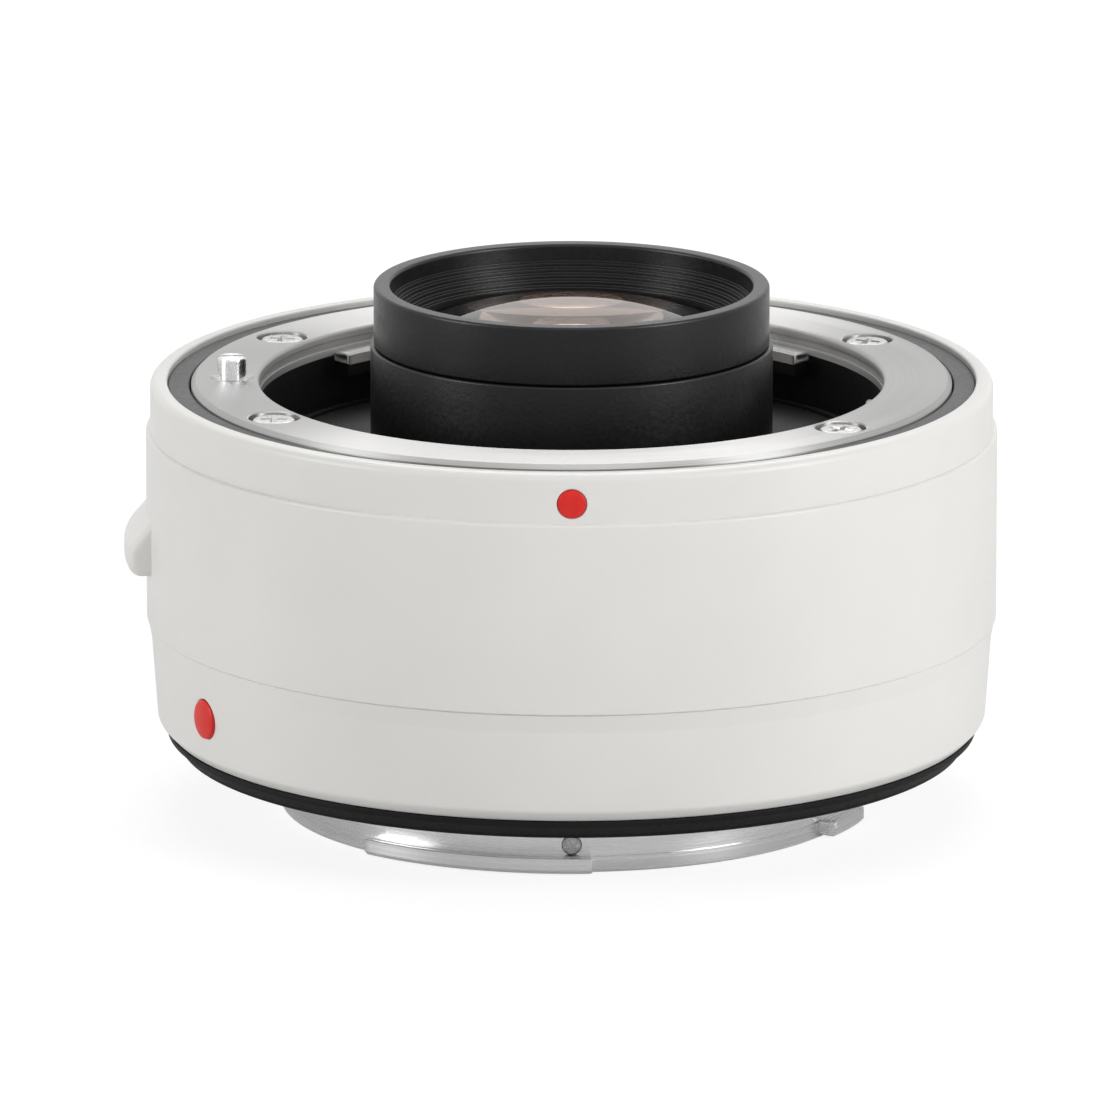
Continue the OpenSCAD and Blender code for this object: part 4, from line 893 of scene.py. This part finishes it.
def make_front_glass():
    """A biconvex element with truly round faces."""
    low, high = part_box("lens_1")

    def face(dish, tip, up):
        radius = (GLASS_R ** 2 + dish ** 2) / (2 * dish)
        return [(r, tip - up * (radius - math.sqrt(radius ** 2 - r ** 2)))
                for r in (GLASS_R * k / GLASS_ROWS for k in range(GLASS_ROWS + 1))]

    outline = face(FRONT_DISH, high.z, 1) + list(reversed(face(BACK_DISH, low.z, -1)))
    dress(lathe("front_glass", outline, GLASS_SIDES), "lens_1")


# Rear bayonet

def make_rear_bayonet():
    line_r, line_foot, line_top = NECK_R - LINE_CUT, LINE_Z - LINE_HALF, LINE_Z + LINE_HALF
    mount = lathe("rear_bayonet", rounded(
        [(NECK_BORE_R, NECK_Z), (NECK_R, NECK_Z), (NECK_R, line_foot), (line_r, line_foot),
         (line_r, line_top), (NECK_R, line_top), (NECK_R, 0), (FLANGE_R, 0), (FLANGE_R, PAD_Z),
         (NECK_BORE_R, PAD_Z)],
        [0.15 * MM, 0.25 * MM, 0, 0, 0, 0, 0.1 * MM, 0.15 * MM, 0, 0]), SHELL_SIDES)

    def tab(inset):
        top, foot, face = TAB_TOP - inset, TAB_TOP - TAB_T + inset, TAB_R - inset
        root_r = NECK_R - TAB_ROOT
        groove_r = NECK_R + TAB_GROOVE_AT * (TAB_R - NECK_R)
        return [(root_r, top), (groove_r - TAB_GROOVE, top), (groove_r, top - TAB_GROOVE),
                (groove_r + TAB_GROOVE, top), (face - TAB_EDGE, top), (face, top - TAB_EDGE),
                (face, foot + TAB_BEVEL), (face - TAB_BEVEL, foot), (root_r, foot)]

    for start, end in TAB_BEARINGS:
        combine(mount, arc("tab", tab, start, end, TAB_END), "UNION")
    # Known fault: these bores are as wide as the lens tube's. They should be 2 mm in radius.
    shank_r = SHANK_R + FIT
    bore = [(0, -BORE_LIP), (REAR_BORE_R + 2 * BORE_LIP, -BORE_LIP), (REAR_BORE_R, BORE_LIP),
            (REAR_BORE_R, REAR_HEAD_H), (shank_r, REAR_HEAD_H), (shank_r, BORE_REACH), (0, BORE_REACH)]
    cutters = [moved(lathe("bore", bore, BORE_SIDES), vertical(bearing, REAR_SCREW_R, 0))
               for bearing in REAR_SCREW_BEARINGS]
    low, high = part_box("lock_pin")
    pin_bore_r = (high.y - low.y) / 2 + PIN_BORE_ROOM
    cutters.append(moved(peg("pin_bore", pin_bore_r, -MM, BORE_REACH, BORE_SIDES),
                         Matrix.Translation(((low.x + high.x) / 2, 0, 0))))
    low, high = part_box("stop_screw")
    stop_z, stop_r = (low.z + high.z) / 2, (high.z - low.z) / 2
    cutters.append(moved(peg("stop_bore", stop_r + FIT, -MM, STOP_BORE_REACH, STOP_SIDES),
                         outward(0, NECK_BORE_R, stop_z)))
    combine(mount, joined("bores", cutters), "DIFFERENCE")
    dress(mount, "rear_mount")


def make_stop_screw():
    low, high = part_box("stop_screw")
    z, radius = (low.z + high.z) / 2, (high.z - low.z) / 2
    root, top = -high.y, -low.y
    head = rounded([(0, root), (radius, root), (radius, top), (0, top)], [0, 0, STOP_ROUND, 0], 5)
    screw = moved(lathe("stop_head", head, STOP_SIDES), outward(0, 0, z))
    dress(screw, "stop_screw", material=grained_steel())


def make_flange_screws():
    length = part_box("rear_mount_screws")[1].z
    make_screws("rear_mount_screws", "flange_screws", REAR_HEAD_R, REAR_HEAD_H, REAR_SCREW_R,
                REAR_SCREW_BEARINGS, 0, length, flip=True, turn_step=51)


def make_seal():
    inner = FLANGE_R + FIT
    seal = lathe("rubber_seal", rounded(
        [(inner, SEAL_TOP), (SEAL_R, SEAL_TOP), (SEAL_R - 0.1 * MM, SEAL_TOP - 0.5 * MM),
         (SEAL_R - 1.05 * MM, SEAL_Z + 0.3 * MM), (SEAL_R - 1.15 * MM, SEAL_Z), (inner, SEAL_Z)],
        [0, 0.1 * MM, 0.2 * MM, 0.2 * MM, 0.12 * MM, 0.05 * MM]), SHELL_SIDES)
    dress(seal, "mount_seal")


# Springs

def coil(name, centre, radius, wire, low, high, turns):
    """One wire wound round a line along Z."""
    steps, sides = 24, 10
    count = turns * steps
    angles = [2 * math.pi * s / sides for s in range(sides)]
    rise = high - low - wire
    sections = []
    for i in range(count + 1):
        turn = 2 * math.pi * i / steps
        out = Vector((math.cos(turn), math.sin(turn), 0))
        mid = Vector((centre.x, centre.y, low + wire / 2 + rise * i / count)) + out * radius
        sections.append([mid + out * (wire / 2 * math.cos(angle))
                         + Vector((0, 0, wire / 2 * math.sin(angle))) for angle in angles])
    return loft(name, sections)


def make_springs():
    low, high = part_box("release_spring")
    wire, travel = 0.4 * MM, 2.0 * MM
    spring = coil("lock_spring", (low + high) / 2, (high.y - low.y - wire) / 2, wire, low.z, high.z, turns=7)
    dress(spring, "release_spring")
    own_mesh(spring)
    low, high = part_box("contact_springs")
    wire, radius, travel = 0.16 * MM, 0.62 * MM, 0.8 * MM
    for i in range(1, 9):
        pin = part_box(f"contact_pin_{i}")
        spring = coil(f"contact_spring_{i}", (pin[0] + pin[1]) / 2, radius, wire, low.z, high.z, turns=3)
        dress(spring, "contact_springs")
        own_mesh(spring)


make_bezel()
make_main_barrel()
make_lower_band()
make_release_knob()
make_lock_pin()
make_bayonet_ring()
make_ring_screws()
make_trim_ring()
make_lens_tube()
make_collar()
make_retainer()
make_front_glass()
make_rear_bayonet()
make_stop_screw()
make_flange_screws()
make_seal()
make_springs()


# Stage, light and camera

FLOOR_HALF = 3.0
FLOOR_GLOW = 1.2
FLOOR_SEEN = 0.7
FLOOR_MIRRORED = 0.1
ROOM_LIGHT = 0.21
BACKDROP_LIGHT = 1.0
CAMERA_ELEVATION = math.radians(13.736)
CAMERA_DISTANCE = 1.4
CAMERA_TARGET = Vector((-0.977 * MM, 0, 15.08 * MM))
CAMERA_LENS = 531
CAMERA_SENSOR = 36
CAMERA_CLIP_END = 20

# Name, bearing, elevation, distance, size and power
LAMPS = (
    ("back_softbox", 180, 55, 0.75, 0.6, 2.6),
    ("top_softbox", 8, 62, 0.8, 0.5, 0.6),
    ("right_softbox", 58, 22, 0.8, 0.42, 3.6),
    ("left_softbox", -70, 18, 0.8, 0.4, 2.5),
)


def seen_directly(tree):
    """1 for rays from the camera and for those that metal and glass send on, else 0."""
    path = add(tree, "LightPath")
    first = add(tree, "Math", operation="MAXIMUM")
    both = add(tree, "Math", operation="MAXIMUM")
    tree.links.new(path.outputs["Is Camera Ray"], first.inputs[0])
    tree.links.new(path.outputs["Is Glossy Ray"], first.inputs[1])
    tree.links.new(first.outputs[0], both.inputs[0])
    tree.links.new(path.outputs["Is Transmission Ray"], both.inputs[1])
    return both.outputs[0]


def make_floor():
    """A pale floor that partly glows where the camera or a mirror sees it."""
    corners = ((-1, -1), (1, -1), (1, 1), (-1, 1))
    bm = bmesh.new()
    bm.faces.new([bm.verts.new((x * FLOOR_HALF, y * FLOOR_HALF, NECK_Z)) for x, y in corners])
    floor = keep(bm, "floor")
    material, tree, bsdf = shader("pale_floor", (0.75, 0.75, 0.75), 0.9)
    tint(tree, noise(tree, 4, 2), (0.74, 0.74, 0.74), (0.76, 0.76, 0.76), bsdf)
    glow = add(tree, "Emission")
    glow.inputs["Strength"].default_value = FLOOR_GLOW
    path = add(tree, "LightPath")
    seen = add(tree, "Math", operation="MULTIPLY")
    seen.inputs[1].default_value = FLOOR_SEEN
    share = add(tree, "Math", operation="MULTIPLY_ADD")
    share.inputs[1].default_value = FLOOR_MIRRORED
    mix = add(tree, "MixShader")
    tree.links.new(path.outputs["Is Camera Ray"], seen.inputs[0])
    tree.links.new(path.outputs["Is Glossy Ray"], share.inputs[0])
    tree.links.new(seen.outputs[0], share.inputs[2])
    tree.links.new(share.outputs[0], mix.inputs["Fac"])
    tree.links.new(bsdf.outputs[0], mix.inputs[1])
    tree.links.new(glow.outputs[0], mix.inputs[2])
    tree.links.new(mix.outputs[0], tree.nodes["Material Output"].inputs["Surface"])
    floor.data.materials.append(material)


def make_world():
    """White where it is seen, dimmer where it lights matt surfaces."""
    world = bpy.data.worlds.new("studio")
    world.use_nodes = True
    tree = world.node_tree
    tree.nodes.clear()
    output = add(tree, "OutputWorld")
    room, white, mix = add(tree, "Background"), add(tree, "Background"), add(tree, "MixShader")
    room.inputs["Color"].default_value = (1, 1, 1, 1)
    room.inputs["Strength"].default_value = ROOM_LIGHT
    white.inputs["Color"].default_value = (1, 1, 1, 1)
    white.inputs["Strength"].default_value = BACKDROP_LIGHT
    tree.links.new(seen_directly(tree), mix.inputs["Fac"])
    tree.links.new(room.outputs[0], mix.inputs[1])
    tree.links.new(white.outputs[0], mix.inputs[2])
    tree.links.new(mix.outputs[0], output.inputs["Surface"])
    bpy.context.scene.world = world


def make_lamp(name, bearing, elevation, distance, size, power):
    """A softbox that faces the middle of the object."""
    light = bpy.data.lights.new(name, "AREA")
    light.shape = "DISK"
    light.size = size
    light.energy = power
    lamp = bpy.data.objects.new(name, light)
    bpy.context.scene.collection.objects.link(lamp)
    rise = math.radians(elevation)
    target = Vector((0, 0, FLANGE_Z / 2))
    lamp.location = target + on_bearing(bearing, distance * math.cos(rise), distance * math.sin(rise))
    lamp.rotation_euler = (target - lamp.location).to_track_quat("-Z", "Y").to_euler()


def make_camera():
    data = bpy.data.cameras.new("camera")
    data.sensor_width = CAMERA_SENSOR
    data.lens = CAMERA_LENS
    data.clip_end = CAMERA_CLIP_END
    camera = bpy.data.objects.new("camera", data)
    bpy.context.scene.collection.objects.link(camera)
    back = Vector((0, -math.cos(CAMERA_ELEVATION), math.sin(CAMERA_ELEVATION)))
    camera.location = CAMERA_TARGET + back * CAMERA_DISTANCE
    camera.rotation_euler = (math.pi / 2 - CAMERA_ELEVATION, 0, 0)
    bpy.context.scene.camera = camera


make_floor()
make_world()
for lamp in LAMPS:
    make_lamp(*lamp)
make_camera()
bpy.context.scene.view_settings.view_transform = "Standard"
